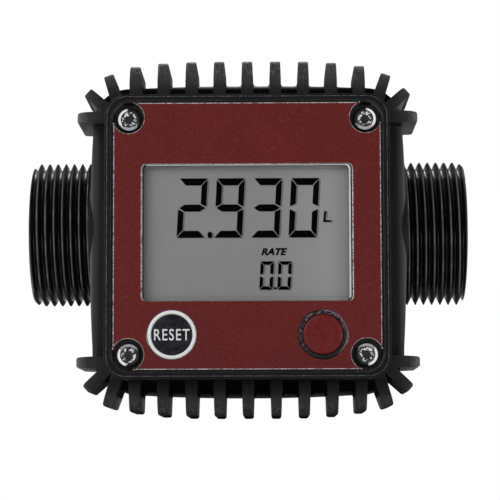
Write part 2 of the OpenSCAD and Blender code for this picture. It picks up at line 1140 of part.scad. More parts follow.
meter_body();
turbine_rotor();
rotor_magnets();
rotor_shaft();
inlet_guide();
outlet_guide();
inlet_bush();
outlet_bush();
inlet_ring();
outlet_ring();
display_housing();
housing_seal();
face_plate();
window_lens();
window_seal();
display_screws();
screw_inserts();
reset_button();
reset_bezel();
reset_plunger();
reset_switch();
calibration_button();
calibration_bezel();
calibration_plunger();
calibration_switch();
lcd_glass();
lcd_frame();
lcd_connectors();
circuit_board();
board_screws();
controller_chip();
board_components();
sensor_board();
hall_sensor();
sensor_pins();
battery_holder();
battery_contacts();
upper_cell();
lower_cell();
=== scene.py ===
import json
import math

import bpy
from bpy.props import (
    FloatProperty,
    FloatVectorProperty,
    IntProperty,
    PointerProperty,
    StringProperty,
)
from mathutils import Matrix, Vector


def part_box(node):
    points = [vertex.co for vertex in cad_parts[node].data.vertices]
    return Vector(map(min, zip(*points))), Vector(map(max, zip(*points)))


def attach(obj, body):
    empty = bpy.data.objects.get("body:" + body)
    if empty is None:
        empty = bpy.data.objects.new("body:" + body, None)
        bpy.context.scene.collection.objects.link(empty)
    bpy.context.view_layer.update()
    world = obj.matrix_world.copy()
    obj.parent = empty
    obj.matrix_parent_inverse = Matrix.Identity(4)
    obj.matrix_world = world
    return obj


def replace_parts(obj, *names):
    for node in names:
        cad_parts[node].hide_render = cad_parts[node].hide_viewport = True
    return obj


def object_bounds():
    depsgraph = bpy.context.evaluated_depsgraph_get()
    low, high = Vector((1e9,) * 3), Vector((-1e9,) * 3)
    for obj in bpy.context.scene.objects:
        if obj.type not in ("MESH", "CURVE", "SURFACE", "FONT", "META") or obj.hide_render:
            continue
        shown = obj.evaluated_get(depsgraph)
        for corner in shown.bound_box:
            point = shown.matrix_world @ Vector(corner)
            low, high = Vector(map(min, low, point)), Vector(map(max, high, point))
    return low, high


bl_info = {
    "name": "In-line flow meter looks",
    "version": (1, 0, 0),
    "blender": (4, 5, 0),
    "location": "3D View > Sidebar > Flow meter",
    "description": "Materials and fine pieces for an in-line flow meter with a square display",
    "category": "Object",
}

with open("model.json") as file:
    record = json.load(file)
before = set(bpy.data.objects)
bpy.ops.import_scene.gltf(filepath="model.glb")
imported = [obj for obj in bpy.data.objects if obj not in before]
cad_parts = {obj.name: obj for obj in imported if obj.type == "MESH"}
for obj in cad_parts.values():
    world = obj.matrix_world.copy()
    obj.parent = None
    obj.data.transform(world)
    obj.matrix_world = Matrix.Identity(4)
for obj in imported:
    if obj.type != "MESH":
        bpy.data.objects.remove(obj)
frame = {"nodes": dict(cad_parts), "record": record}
NODES = frame["nodes"]
CAD_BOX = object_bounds()
MM = 0.001


def middle(node):
    """The middle of a CAD node's box, in metres."""
    low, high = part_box(node)
    return [(a + b) / 2 for a, b in zip(low, high)]


PLATE_X, _, PLATE_Z = middle("face_plate")
PLATE_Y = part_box("face_plate")[0][1]
LENS_LOW, LENS_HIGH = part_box("window_lens")
GLASS_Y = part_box("lcd_glass")[0][1]
BODY_LOW, BODY_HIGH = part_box("meter_body")
BODY_X = middle("meter_body")[0]
CAP_R = (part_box("reset_button")[1][0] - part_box("reset_button")[0][0]) / 2
RIB_FRONT = -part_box("display_housing")[0][1] / MM - 7.3  # how far forward the ribs reach, in mm
PORT = frame["record"]["mounts"][0]["dims"]
PORT_R = PORT["r_mm"] * MM

HAIR = 0.00001  # how far a mark or a rubbed line stands in front of the surface it lies on
CLEAR = 0.00002  # the same for larger pieces that lie over a CAD surface
THREAD_R = PORT_R - HAIR
THREAD_BEVEL = 0.001  # at the end face of a port
THREAD_STEPS = 14  # rings in one turn of the thread
THREAD_PAST = 0.0004  # how far the thread runs on into the casing
SLEEVE = 0.002  # the plain length behind it
SCREW_R = 0.00265  # of the display screws' heads
LINE = 0.0001  # a narrow rubbed line, and the unit for the wider ones
RESET_SIZE = (0.00774, 0.0025)  # of the word on the left cap


# Settings


LENGTH = {"precision": 5, "unit": "LENGTH"}
ANGLE = {"subtype": "ANGLE"}
COLOUR = {"kind": FloatVectorProperty, "subtype": "COLOR", "size": 3, "min": 0, "max": 1}


def setting(name, description, default, kind=FloatProperty, **more):
    return kind(name=name, description=description, default=default, **more)


class MeterSizes(bpy.types.PropertyGroup):
    """Sizes of the fine pieces."""

    thread_pitch: setting(
        "Thread pitch",
        "Distance between two crests of the port threads",
        0.00191,
        min=0.001,
        max=0.003,
        **LENGTH,
    )
    thread_depth: setting(
        "Thread depth",
        "Height of the port threads from root to crest",
        0.00172,
        min=0.0005,
        max=0.002,
        **LENGTH,
    )
    reading: setting(
        "Reading", "Digits and point of the large row of the display", "2.930", StringProperty
    )
    rate: setting(
        "Rate", "Digits and point of the small row of the display", "0.0", StringProperty
    )
    digit_height: setting(
        "Digit height", "Height of the large digits", 0.01318, min=0.005, max=0.02, **LENGTH
    )
    digit_slant: setting(
        "Digit slant", "How far the digits lean to the right", math.radians(3.1), **ANGLE
    )
    knurls: setting(
        "Knurls", "Number of fine teeth round the dark ring", 44, IntProperty, min=12, max=90
    )
    recess_lobes: setting(
        "Recess lobes", "Number of lobes in a display screw's recess", 6, IntProperty, min=4, max=8
    )


class MeterColours(bpy.types.PropertyGroup):
    """Colours of the main finishes."""

    casing: setting("Casing", "Black of the moulded casing", (0.0085, 0.0085, 0.009), **COLOUR)
    plate: setting("Face plate", "Dark red of the face plate", (0.132, 0.0058, 0.0062), **COLOUR)
    display: setting("Display", "Grey of the liquid crystal display", (0.29, 0.29, 0.29), **COLOUR)
    turbine: setting("Turbine", "Ivory of the rotor and the guides", (0.55, 0.52, 0.44), **COLOUR)


class MeterStage(bpy.types.PropertyGroup):
    """The camera's place and the light."""

    camera_place: setting(
        "Camera",
        "Where the camera stands",
        (0.0557, -0.50143, -0.05443),
        FloatVectorProperty,
        subtype="TRANSLATION",
        size=3,
        precision=5,
    )
    camera_pitch: setting("Pitch", "How far the camera looks up", math.radians(5.785), **ANGLE)
    camera_yaw: setting(
        "Yaw", "How far the camera looks to the right", math.radians(-0.655), **ANGLE
    )
    camera_roll: setting("Roll", "How far the camera leans", math.radians(-0.157), **ANGLE)
    camera_lens: setting("Lens", "Focal length in mm on a 36 mm sensor", 155.53, min=20, max=400)
    ambient: setting("Ambient", "Strength of the light from all round", 0.5, min=0, max=2)
    mirrored: setting(
        "Mirrored room", "Brightness of the room's sides in reflections", 0.45, min=0, max=1
    )
    mirrored_front: setting(
        "Mirrored front", "Brightness behind the camera in reflections", 0.07, min=0, max=1
    )
    key: setting("Key light", "Power of the lamp at the upper left", 2.05, min=0, max=20)


def chosen(context, name):
    """One of the colours in the settings, as a plain tuple."""
    return tuple(getattr(context.scene.meter_colours, name))


# Shader maths


class Value:
    """A number or colour on its way between shader nodes, so that sums on it can be written out."""

    def __init__(self, tree, socket):
        self.tree = tree
        self.socket = socket

    def combined(self, operation, first, second, clamp=False):
        node = self.tree.nodes.new("ShaderNodeMath")
        node.operation = operation
        node.use_clamp = clamp
        plug(first, node.inputs[0])
        plug(second, node.inputs[1])
        return Value(self.tree, node.outputs[0])

    __add__ = __radd__ = lambda self, other: self.combined("ADD", self, other)
    __mul__ = __rmul__ = lambda self, other: self.combined("MULTIPLY", self, other)
    __sub__ = lambda self, other: self.combined("SUBTRACT", self, other)
    __rsub__ = lambda self, other: self.combined("SUBTRACT", other, self)
    __pow__ = lambda self, other: self.combined("POWER", self, other)

    def clamped(self):
        return self.combined("ADD", self, 0.0, clamp=True)

    def size(self):
        return self.combined("ABSOLUTE", self, 0.0)


def plug(value, socket):
    """Links a Value to a socket, or sets the socket to a number or colour."""
    if isinstance(value, Value):
        value.tree.links.new(value.socket, socket)
    else:
        socket.default_value = (*value, 1.0) if socket.type == "RGBA" else value


class Nodes:
    """A node tree that is built from nothing."""

    def __init__(self, tree):
        self.tree = tree
        tree.nodes.clear()

    def made(self, kind, settings=None, sockets=None):
        """A new node: its settings are set first, then the values or links of its sockets."""
        node = self.tree.nodes.new(kind)
        for key, value in (settings or {}).items():
            setattr(node, key, value)
        for key, value in (sockets or {}).items():
            plug(value, node.inputs[key])
        return node

    def node(self, kind, settings=None, sockets=None, result=0):
        """One result of a new node."""
        return Value(self.tree, self.made(kind, settings, sockets).outputs[result])

    def vector(self, operation, sockets, result=0):
        return self.node("ShaderNodeVectorMath", {"operation": operation}, sockets, result)

    def part(self, vector, letter):
        """One of a vector's three numbers."""
        return self.node("ShaderNodeSeparateXYZ", {}, {0: vector}, letter)


class Finish(Nodes):
    """One procedural material, made of nodes that read the object's own place in millimetres."""

    def __init__(self, name):
        self.material = bpy.data.materials.new(name)
        self.material.use_nodes = True
        super().__init__(self.material.node_tree)
        self.shader = self.made("ShaderNodeBsdfPrincipled")
        self.lit = Value(self.tree, self.shader.outputs[0])
        self.output = self.made("ShaderNodeOutputMaterial", {}, {0: self.lit})
        place = self.node("ShaderNodeTexCoord", result="Object")
        self.place = self.vector("SCALE", {0: place, "Scale": 1 / MM})

    def noise(self, scale, detail=3.0, roughness=0.5, stretch=None):
        """Soft noise, with about this many features in a millimetre."""
        place = self.vector("MULTIPLY", {0: self.place, 1: stretch}) if stretch else self.place
        sockets = {"Vector": place, "Scale": scale, "Detail": detail, "Roughness": roughness}
        return self.node("ShaderNodeTexNoise", {}, sockets)

    def cells(self, scale, result="Distance"):
        """Distance from the middles of random cells, or another result of theirs."""
        sockets = {"Vector": self.place, "Scale": scale}
        return self.node("ShaderNodeTexVoronoi", {}, sockets, result)

    def between(self, value, low, high):
        """0 below low, 1 above high, and smooth between them."""
        sockets = {"Value": value, "From Min": low, "From Max": high}
        return self.node("ShaderNodeMapRange", {"interpolation_type": "SMOOTHSTEP"}, sockets)

    def axis(self, letter):
        return self.part(self.place, letter)

    def facing(self, letter):
        """How far the surface faces along an axis of the object, from -1 to 1."""
        return self.part(self.node("ShaderNodeTexCoord", result="Normal"), letter)

    def shades(self, factor, colour, low, high):
        """A colour between a darker and a lighter tone of it."""
        return self.mix(factor, tone(colour, low), tone(colour, high))

    def mix(self, factor, first, second):
        """One colour into another by a factor."""
        sockets = {0: factor, 6: first, 7: second}
        return self.node("ShaderNodeMix", {"data_type": "RGBA"}, sockets, 2)

    def rounded(self, radius):
        """The normal of the surface with its edges rounded."""
        return self.node("ShaderNodeBevel", {"samples": 6}, {"Radius": radius})

    def edges(self, rounded, gain):
        """1 along sharp edges and 0 on flat faces."""
        normal = self.node("ShaderNodeNewGeometry", result="Normal")
        flat = self.vector("DOT_PRODUCT", {0: rounded, 1: normal}, "Value")
        return ((1.0 - flat) * gain).clamped()

    def bump(self, height, distance, strength=1.0, normal=None):
        sockets = {"Height": height, "Distance": distance, "Strength": strength}
        if normal:
            sockets["Normal"] = normal
        return self.node("ShaderNodeBump", {}, sockets)

    def surface(self, **inputs):
        """Sets the shader's sockets: Base_Color, Roughness, Normal and so on."""
        for key, value in inputs.items():
            plug(value, self.shader.inputs[key.replace("_", " ")])
        return self.material


def tone(colour, factor):
    return tuple(c * factor for c in colour)


def grey(level):
    return (level, level, level)


# Finishes


def moulded_black(
    name, colour, grain=2.2, depth=0.048, rough=0.5, scuffs=0.5, edge=0.00035, shine=0.32, dust_and_painted_light=None
):
    """Glass-filled black moulding: fine spark grain, cloudy sheen, and paler rubbed edges.

    grain is in features a millimetre, depth is the bump's in millimetres, and edge is the radius of
    the rounding. The last argument may be a rule that takes the finish and the base colour, and
    gives the base colour with painted light added and how much rougher it is."""
    f = Finish(name)
    rounded = f.rounded(edge)
    rim = f.edges(rounded, 5.0)
    cloud = f.noise(0.12, 3.0)
    speck = f.noise(grain * 2, 4.0, 0.65)
    rubbing_and_highlight_patches = f.between(f.noise(0.55, 5.0, 0.7), 0.42, 0.66)
    worn = (rim * (rubbing_and_highlight_patches * 0.7 + 0.3) * scuffs).clamped()
    base = f.shades(cloud, colour, 0.75, 1.35)
    base = f.mix(f.between(speck, 0.56, 0.78) * 0.5, base, tone(colour, 3.2))
    base = f.mix(worn, base, (0.09, 0.09, 0.0918))
    matte = 0.0
    # painted light from the rule, such as lighter faces where light falls
    if dust_and_painted_light:
        base, matte = dust_and_painted_light(f, base)
    height = f.noise(grain, 5.0, 0.6)
    return f.surface(
        Base_Color=base,
        Roughness=rough + (cloud - 0.5) * 0.16 + (speck - 0.5) * 0.2 + worn * 0.1 + matte,
        Normal=f.bump(height, depth * MM, 0.6, rounded),
        Specular_IOR_Level=shine,
    )


def from_middle(f):
    """How far a point is from the display's middle across and up, in millimetres."""
    return (f.axis("X") - PLATE_X / MM).size(), (f.axis("Z") - PLATE_Z / MM).size()


def rib_streaks_and_painted_light(f, base):
    """Front faces of the ribs painted greyer as painted light, with pale streaks near their tips,
    dull hollows between them, and a front corner along both sides of the casing painted greyer as
    painted light."""
    across, up = from_middle(f)
    reach = across.combined("MAXIMUM", across, up)
    forward = f.axis("Y") * -1.0
    # painted light: the ribs' faces that face the front are painted lighter
    front = f.between(forward, RIB_FRONT - 3.2, RIB_FRONT - 1.2)
    front = front * f.between(f.facing("Y") * -1.0, 0.25, 0.8) * f.between(reach, 30.5, 36.5)
    cloud = f.noise(0.35, 4.0, 0.6)
    streak = f.between(f.noise(1.3, 5.0, 0.7, (1.7, 1.0, 0.6)), 0.47, 0.62)
    tip = f.between(reach, 34.5, 38.5)
    base = f.mix(front * (0.75 + (cloud - 0.5) * 0.9), base, (0.041, 0.041, 0.042))
    # painted light: the casing's front corner is painted greyer where it faces sideways
    side = f.between(f.facing("X").size(), 0.45, 0.95) * f.between(across, 31.5, 33.0)
    side = side * f.between(forward, RIB_FRONT - 14.0, RIB_FRONT - 9.0)
    base = f.mix(side * (0.8 + (cloud - 0.5) * 0.6), base, (0.15, 0.15, 0.151))
    hollow = (1.0 - f.between(up, 34.4, 35.2)) * f.between(up, 31.0, 31.5)
    return f.mix(front * tip * streak * 0.75, base, grey(0.14)), hollow * 0.5


def well_painted_light(f, base):
    """Walls inside the screw wells and round the buttons painted greyer, as painted light on the
    sunk walls.
    """
    across, up = from_middle(f)
    inside = 1.0 - f.between(across.combined("MAXIMUM", across, up), 29.2, 29.4)
    sunk = f.between(f.axis("Y"), PLATE_Y / MM + 0.3, PLATE_Y / MM + 0.7)
    # painted light: the sunk walls are painted greyer
    return f.mix(inside * sunk * 0.8, base, (0.11, 0.115, 0.112)), 0.0


def thread_black(name, colour):
    """Moulded thread: flanks at half the casing's black as painted shade, and a patchy painted
    highlight along the crests away from the top and the bottom.
    """
    f = Finish(name)
    y, z = f.axis("Y"), f.axis("Z")
    depth = (y * y + z * z) ** 0.5 - PORT_R / MM
    # painted highlight on the crests, kept off the top and the bottom
    crest_highlight = f.between(depth, -0.5, -0.1) * (1.0 - f.between(z.size(), 11.5, 15.5))
    tip = f.between(depth, -1.2, -0.8) * f.between(z.size(), 13.0, 14.8)
    rubbing_and_highlight_patches = f.between(f.noise(0.5, 4.0, 0.65), 0.3, 0.7)
    grain = f.noise(4.0, 4.0, 0.6)
    # painted shade on the flanks, painted highlight on the crests
    base = f.mix(crest_highlight * (rubbing_and_highlight_patches * 0.5 + 0.5), tone(colour, 0.5), (0.2, 0.2, 0.205))
    return f.surface(
        Base_Color=base,
        Roughness=0.24 + (grain - 0.5) * 0.14 + crest_highlight * 0.12 + tip * 0.7,
        Normal=f.bump(grain, 0.00002, 0.5, f.rounded(0.0001)),
        Specular_IOR_Level=0.75,
    )


def plate_paint(name, colour):
    """Dark red metallic lacquer on a thin aluminium sheet, with bright cut edges."""
    f = Finish(name)
    rounded = f.rounded(0.00016)
    front = ((f.facing("Y") * -1.0 - 0.55) * 8.0).clamped()
    rim = f.edges(rounded, 9.0)
    chip = f.between(f.noise(2.1, 4.0, 0.7), 0.5, 0.62)
    bare = (1.0 - front * (1.0 - rim * chip)).clamped()
    flake = f.part(f.cells(7.5, "Color"), "X")
    cloud = f.noise(0.07, 2.0)
    speck = f.noise(3.1, 3.0, 0.7)
    paint = f.shades(cloud, colour, 0.86, 1.14)
    paint = f.mix(f.between(speck, 0.52, 0.8) * 0.55, paint, (0.21, 0.045, 0.05))
    paint = f.mix(f.between(flake, 0.86, 1.0) * 0.35, paint, (0.3, 0.09, 0.09))
    brushed = f.noise(3.0, 2.0, 0.5, (0.4, 6.0, 6.0))
    metal = f.mix(brushed, (0.42, 0.42, 0.43), (0.75, 0.75, 0.76))
    return f.surface(
        Base_Color=f.mix(bare, paint, metal),
        Metallic=bare * 0.85,
        Roughness=0.42 + (speck - 0.5) * 0.18 - bare * 0.12,
        Normal=f.bump(speck, 0.00003, 0.5, rounded),
        Specular_IOR_Level=0.35,
    )


def clear_window(name):
    """Clear moulded window with a few faint wipe marks."""
    f = Finish(name)
    wipe = f.noise(0.25, 6.0, 0.7, (1.0, 1.0, 0.25))
    return f.surface(
        Base_Color=grey(0.02),
        Roughness=0.05 + wipe * 0.08,
        Alpha=0.02 + (wipe - 0.5) * 0.015,
        Specular_IOR_Level=0.12,
    )


def window_edge(name):
    """Polished step of the window, with a painted highlight where it faces up or to the right."""
    f = Finish(name)
    # painted highlight on the faces that face up or to the right
    lit = f.between(f.facing("X") + f.facing("Z"), 0.1, 0.5)
    streak = f.between(f.noise(0.5, 3.0), 0.3, 0.6)
    return f.surface(
        Base_Color=f.mix(lit * (streak * 0.25 + 0.75), grey(0.012), (0.78, 0.79, 0.79)),
        Roughness=0.35 + streak * 0.1,
        Specular_IOR_Level=0.4,
    )


def wear_and_highlight_edge(name, colour, dull=(0.2, 0.18, 0.18), bright=(0.74, 0.68, 0.67), scale=0.8):
    """Pale edge line with its own colour left here and there: rubbed bare edges on the face plate,
    and a painted highlight along the housing's rim.
    """
    f = Finish(name)
    kept = f.between(f.noise(scale, 5.0, 0.75), 0.5, 0.62)
    shade = f.noise(3.0, 3.0, 0.6)
    bare = f.mix(f.between(shade, 0.36, 0.64), dull, bright)
    return f.surface(
        Base_Color=f.mix(kept * 0.8, bare, tone(colour, 1.3)),
        Metallic=0.2,
        Roughness=0.4 + shade * 0.15,
    )


def display_grey(name, colour):
    """Grey reflector of the display: faintly mottled, painted lighter to the right as painted
    light, with a painted shadow along the left and the top."""
    f = Finish(name)
    mottle = f.noise(0.9, 5.0, 0.6)
    fine = f.noise(9.0, 2.0, 0.6)
    x = f.axis("X") - PLATE_X / MM
    z = f.axis("Z") - PLATE_Z / MM
    # painted shadow along the left and the top
    painted_shadow = 1.0 - f.between(x, -23.3, -21.2) * (1.0 - f.between(z, 14.6, 16.6))
    base = f.shades(mottle, colour, 0.97, 1.03)
    # painted light: lighter towards the right
    base = f.mix(f.between(x, 2.0, 22.0) * 0.24, base, tone(colour, 1.9))
    base = f.mix((fine - 0.5) * 0.15 + 0.05, base, tone(colour, 0.8))
    return f.surface(
        Base_Color=f.mix(painted_shadow * 0.3, base, tone(colour, 0.28)),
        Roughness=0.48 + mottle * 0.08,
        Specular_IOR_Level=0.2,
    )


def ink(name, colour, rough=0.5, opacity=1.0, shine=0.2):
    """Printed or switched dark mark, not quite even."""
    f = Finish(name)
    patch = f.noise(1.6, 3.0)
    return f.surface(
        Base_Color=f.shades(patch, colour, 0.85, 1.2),
        Roughness=rough + (patch - 0.5) * 0.1,
        Alpha=opacity,
        Specular_IOR_Level=shine,
    )


def plated_steel(name, colour, rough, grime):
    """Zinc or nickel plate: bright, with turning marks and grime in the hollows."""
    f = Finish(name)
    rounded = f.rounded(0.00015)
    cloud = f.noise(1.4, 5.0, 0.65)
    fine = f.noise(9.0, 3.0, 0.6)
    dirt = f.between(cloud, 0.5, 0.72) * grime
    return f.surface(
        Base_Color=f.mix(dirt, f.shades(fine, colour, 0.85, 1.18), tone(colour, 0.2)),
        Metallic=1.0 - dirt * 0.5,
        Roughness=rough + cloud * 0.14 + dirt * 0.3,
        Normal=f.bump(fine, 0.000012, 0.6, rounded),
    )


def screw_head_zinc(name):
    """Plated pan head, mottled dark on its front, darker elsewhere and round its recess as painted
    shade, with painted highlights towards the outer side, round the recess and at the bottom.

    The painted highlights also glow faintly, since the wells keep the lamps off them."""
    f = Finish(name)
    low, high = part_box("display_screws")
    across, up = from_middle(f)
    half = ((high[0] - low[0]) / 2 - SCREW_R) / MM
    out, rise = across - half, up - half
    radius = (out * out + rise * rise) ** 0.5
    grain = f.noise(2.4, 4.0, 0.7)
    flat = f.between(f.facing("Y") * -1.0, 0.3, 0.7)
    dome = f.between(radius, 1.8, 1.95) * (1.0 - f.between(radius, 2.35, 2.5))
    # painted highlight: a crescent towards the outer side
    crescent_highlight = f.between(out + rise * 0.35 - (grain - 0.5) * 4.0, 1.0, 1.4) * dome
    fleck = f.between(f.noise(1.5, 3.0, 0.6), 0.5, 0.56)
    # painted highlight: flecks on the rim round the recess
    recess_rim_highlight = f.between(radius, 0.85, 1.1) * (1.0 - f.between(radius, 1.5, 1.7)) * fleck
    # painted highlight: spots at the bottom of the dome
    low_highlight = f.between(rise * -1.0 - (grain - 0.5) * 5.0, 1.2, 1.6) * dome
    painted_highlight = (crescent_highlight + recess_rim_highlight * 0.8 + low_highlight * 0.5).clamped()
    lit = (crescent_highlight + recess_rim_highlight * 0.7 + low_highlight * 0.4).clamped()
    mottled_front = f.mix(grain, (0.035, 0.037, 0.038), (0.1, 0.104, 0.106))
    # painted shade: faces that don't face the front are darker
    base = f.mix(flat, (0.02, 0.021, 0.022), mottled_front)
    return f.surface(
        Base_Color=f.mix(painted_highlight, base, (0.93, 0.93, 0.94)),
        Metallic=0.3,
        Roughness=0.3 - painted_highlight * 0.04 + (grain - 0.5) * 0.2,
        # painted glow on the highlights, though the head is no lamp
        Emission_Color=f.mix(lit, grey(0), grey(1)),
        Emission_Strength=0.6,
        Normal=f.bump(grain, 0.00002, 0.5, f.rounded(0.0001)),
    )


def turned_metal(name, colour, rough=0.28, along="Y"):
    """Ground or turned metal with fine rings along one axis."""
    f = Finish(name)
    stretch = {"X": (14.0, 0.5, 0.5), "Y": (0.5, 14.0, 0.5), "Z": (0.5, 0.5, 14.0)}[along]
    rings = f.noise(1.0, 3.0, 0.6, stretch)
    cloud = f.noise(0.4, 3.0)
    return f.surface(
        Base_Color=f.shades(rings, colour, 0.82, 1.12),
        Metallic=1.0,
        Roughness=rough + (rings - 0.5) * 0.2 + (cloud - 0.5) * 0.1,
        Normal=f.bump(rings, 0.000015, 0.7, f.rounded(0.00012)),
    )


def turbine_polymer(name, colour):
    """Ivory glass-filled polymer with short fibre streaks."""
    f = Finish(name)
    fibre = f.noise(2.0, 4.0, 0.7, (1.0, 0.35, 1.0))
    cloud = f.noise(0.2, 2.0)
    base = f.shades(cloud, colour, 0.92, 1.06)
    return f.surface(
        Base_Color=f.mix(f.between(fibre, 0.5, 0.75) * 0.4, base, tone(colour, 0.7)),
        Roughness=0.36 + (fibre - 0.5) * 0.2,
        Normal=f.bump(fibre, 0.00002, 0.5, f.rounded(0.0002)),
    )


def seal_rubber(name):
    """Matte black rubber with a dusty bloom."""
    f = Finish(name)
    dust_and_painted_light = f.noise(0.8, 5.0, 0.7)
    return f.surface(
        Base_Color=f.mix(f.between(dust_and_painted_light, 0.45, 0.75) * 0.35, grey(0.012), grey(0.05)),
        Roughness=0.72 + (dust_and_painted_light - 0.5) * 0.2,
        Normal=f.bump(dust_and_painted_light, 0.00003, 0.4),
        Specular_IOR_Level=0.3,
    )


def layered_rubber(name):
    """Elastomer connector: thin dark conducting layers between pink rubber."""
    f = Finish(name)
    bands = {"wave_type": "BANDS", "bands_direction": "X"}
    stripe = f.node("ShaderNodeTexWave", bands, {"Vector": f.place, "Scale": 1.6})
    return f.surface(
        Base_Color=f.mix(f.between(stripe, 0.55, 0.75), (0.5, 0.24, 0.26), grey(0.03)),
        Roughness=0.6 + f.noise(1.0) * 0.15,
    )


def board_mask(name, colour):
    """Green solder mask over faint copper tracks and tinned pads."""
    f = Finish(name)
    flat = f.node("ShaderNodeCombineXYZ", {}, {0: f.axis("X"), 1: f.axis("Z")})
    sockets = {"Vector": flat, "Scale": 0.34, "Mortar Size": 0.03}
    tracks = f.node("ShaderNodeTexBrick", {"offset": 0.37}, sockets, "Fac")
    pads = f.cells(0.42)
    cloud = f.noise(0.2)
    base = f.shades(cloud, colour, 0.85, 1.2)
    base = f.mix(tracks * 0.6, base, tone(colour, 2.4))
    tinned = 1.0 - f.between(pads, 0.06, 0.09)
    return f.surface(
        Base_Color=f.mix(tinned, base, (0.6, 0.6, 0.58)),
        Metallic=tinned * 0.9,
        Roughness=0.3 + cloud * 0.15,
        Normal=f.bump(tracks, 0.00003, 0.5),
    )


def dull_package(name, colour, rough=0.55):
    """Moulded package or ceramic body with a fine even grain."""
    f = Finish(name)
    grain = f.noise(6.0, 3.0, 0.6)
    cloud = f.noise(0.5, 3.0)
    return f.surface(
        Base_Color=f.shades(cloud, colour, 0.8, 1.25),
        Roughness=rough + (grain - 0.5) * 0.2,
        Normal=f.bump(grain, 0.00002, 0.5, f.rounded(0.0001)),
    )


def cap_plastic(name, colour, other, rough=0.45, mottled=0.5, shine=0.4):
    """Button cap: satin, faintly mottled."""
    f = Finish(name)
    blot = f.noise(0.85, 5.0, 0.65)
    speck = f.noise(4.0, 3.0, 0.6)
    base = f.mix(f.between(blot, 0.42, 0.68) * mottled, colour, other)
    return f.surface(
        Base_Color=f.mix(f.between(speck, 0.55, 0.8) * 0.35, base, tone(other, 1.4)),
        Roughness=rough + (blot - 0.5) * 0.15,
        Normal=f.bump(speck, 0.00002, 0.6, f.rounded(0.0002)),
        Specular_IOR_Level=shine,
    )


def knurled_ring(name):
    """Dark ring with fine pale flecks between dark hollows, stronger towards the upper left as
    painted light, and a painted highlight along the outer edge at the right.
    """
    f = Finish(name)
    x, _, z = middle("calibration_bezel")
    across, up = f.axis("X") - x / MM, f.axis("Z") - z / MM
    radius = (across * across + up * up) ** 0.5
    fleck = f.between(f.noise(2.6, 2.0, 0.6), 0.5, 0.57)
    # painted light: flecks stronger towards the upper left
    upper = f.between(up - across * 0.6, -3.5, 2.5)
    # painted highlight: the outer edge at the right
    outer = f.between(radius, 5.12, 5.3) * f.between(across + up * 0.4, 1.0, 3.6)
    base = f.mix(fleck * (upper * 0.8 + 0.1), (0.012, 0.011, 0.012), (0.24, 0.17, 0.19))
    base = f.mix(outer * 0.8, base, (0.5, 0.42, 0.42))
    return f.surface(
        Base_Color=base,
        Roughness=0.42 + fleck * 0.1,
        Normal=f.bump(fleck, 0.00003, 0.6, f.rounded(0.0001)),
        Specular_IOR_Level=0.15,
    )


def cell_jacket(name):
    """Plain printed cell jacket: dark band and a copper-coloured end."""
    f = Finish(name)
    along = f.axis("X") - middle("upper_cell")[0] / MM
    band = f.between(along, 8.0, 8.3)
    scratch = f.noise(1.0, 4.0, 0.7, (0.3, 5.0, 5.0))
    end = f.between(along.size(), 22.0, 22.1)
    base = f.mix(band, (0.02, 0.022, 0.03), (0.45, 0.2, 0.07))
    return f.surface(
        Base_Color=f.mix(end, base, grey(0.6)),
        Metallic=0.25 + end * 0.7,
        Roughness=0.3 + scratch * 0.15,
    )


# Mesh makers


def linked(name, data):
    """A new object in the scene."""
    thing = bpy.data.objects.new(name, data)
    bpy.context.scene.collection.objects.link(thing)
    return thing


def placed(mesh, name, finish, body):
    """A new object with a mesh in the row's frame, which rides on a body."""
    mesh.materials.append(finish)
    thing = linked(name, mesh)
    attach(thing, body)
    return thing


def piece(name, shape, finish, body="casing", smooth=0):
    """A new piece. shape is (points, faces), and smooth the angle in degrees up to which its
    edges are smoothed."""
    points, faces = shape
    mesh = bpy.data.meshes.new(name)
    mesh.from_pydata(points, [], faces)
    mesh.validate()
    if smooth:
        mesh.shade_smooth()
        mesh.set_sharp_from_angle(angle=math.radians(smooth))
    return placed(mesh, name, finish, body)


def dress(finish, *nodes):
    """Gives CAD nodes their material."""
    for node in nodes:
        mesh = NODES[node].data
        mesh.materials.clear()
        mesh.materials.append(finish)


def loft(rings, centre, along, steps, closed=False):
    """A shape through rings round one axis, with a tip where the first or last radius is 0.

    A ring is (radius, place along the axis), and its radius may be a rule of the angle."""
    x, y, z = centre
    points, faces, rows = [], [], []
    for radius, place in rings:
        n = steps if radius else 1
        rows.append(range(len(points), len(points) + n))
        for i in range(n):
            angle = 2 * math.pi * i / n
            r = radius(angle) if callable(radius) else radius
            a, b = r * math.cos(angle), r * math.sin(angle)
            points.append((x + a, y + place, z + b) if along == "Y" else (x + place, y + a, z + b))
    for low, high in list(zip(rows, rows[1:])) + ([(rows[-1], rows[0])] if closed else []):
        for i in range(steps):
            around = ((low, i), (low, i + 1), (high, i + 1), (high, i))
            corners = list(dict.fromkeys(row[k % len(row)] for row, k in around))
            faces.append(corners[::-1] if along == "Y" else corners)
    return points, faces


def flipped(shape):
    """The same shape with its faces turned round."""
    return shape[0], [face[::-1] for face in shape[1]]


def joined(parts):
    """Several shapes as one."""
    points, faces = [], []
    for more, corners in parts:
        start = len(points)
        points += more
        faces += [[c + start for c in face] for face in corners]
    return points, faces


def flat_marks(outlines, y, thickness):
    """Thin raised marks from outlines of (x, z) points, facing -Y."""
    points, faces = [], []
    for outline in outlines:
        turns = sum(a[0] * b[1] - b[0] * a[1] for a, b in zip(outline, outline[1:] + outline[:1]))
        if turns < 0:
            outline = outline[::-1]
        start, n = len(points), len(outline)
        points += [(x, y - thickness, z) for x, z in outline] + [(x, y, z) for x, z in outline]
        faces.append([start + i for i in range(n)])
        for i in range(n):
            j = (i + 1) % n
            faces.append([start + j, start + i, start + n + i, start + n + j])
    return points, faces


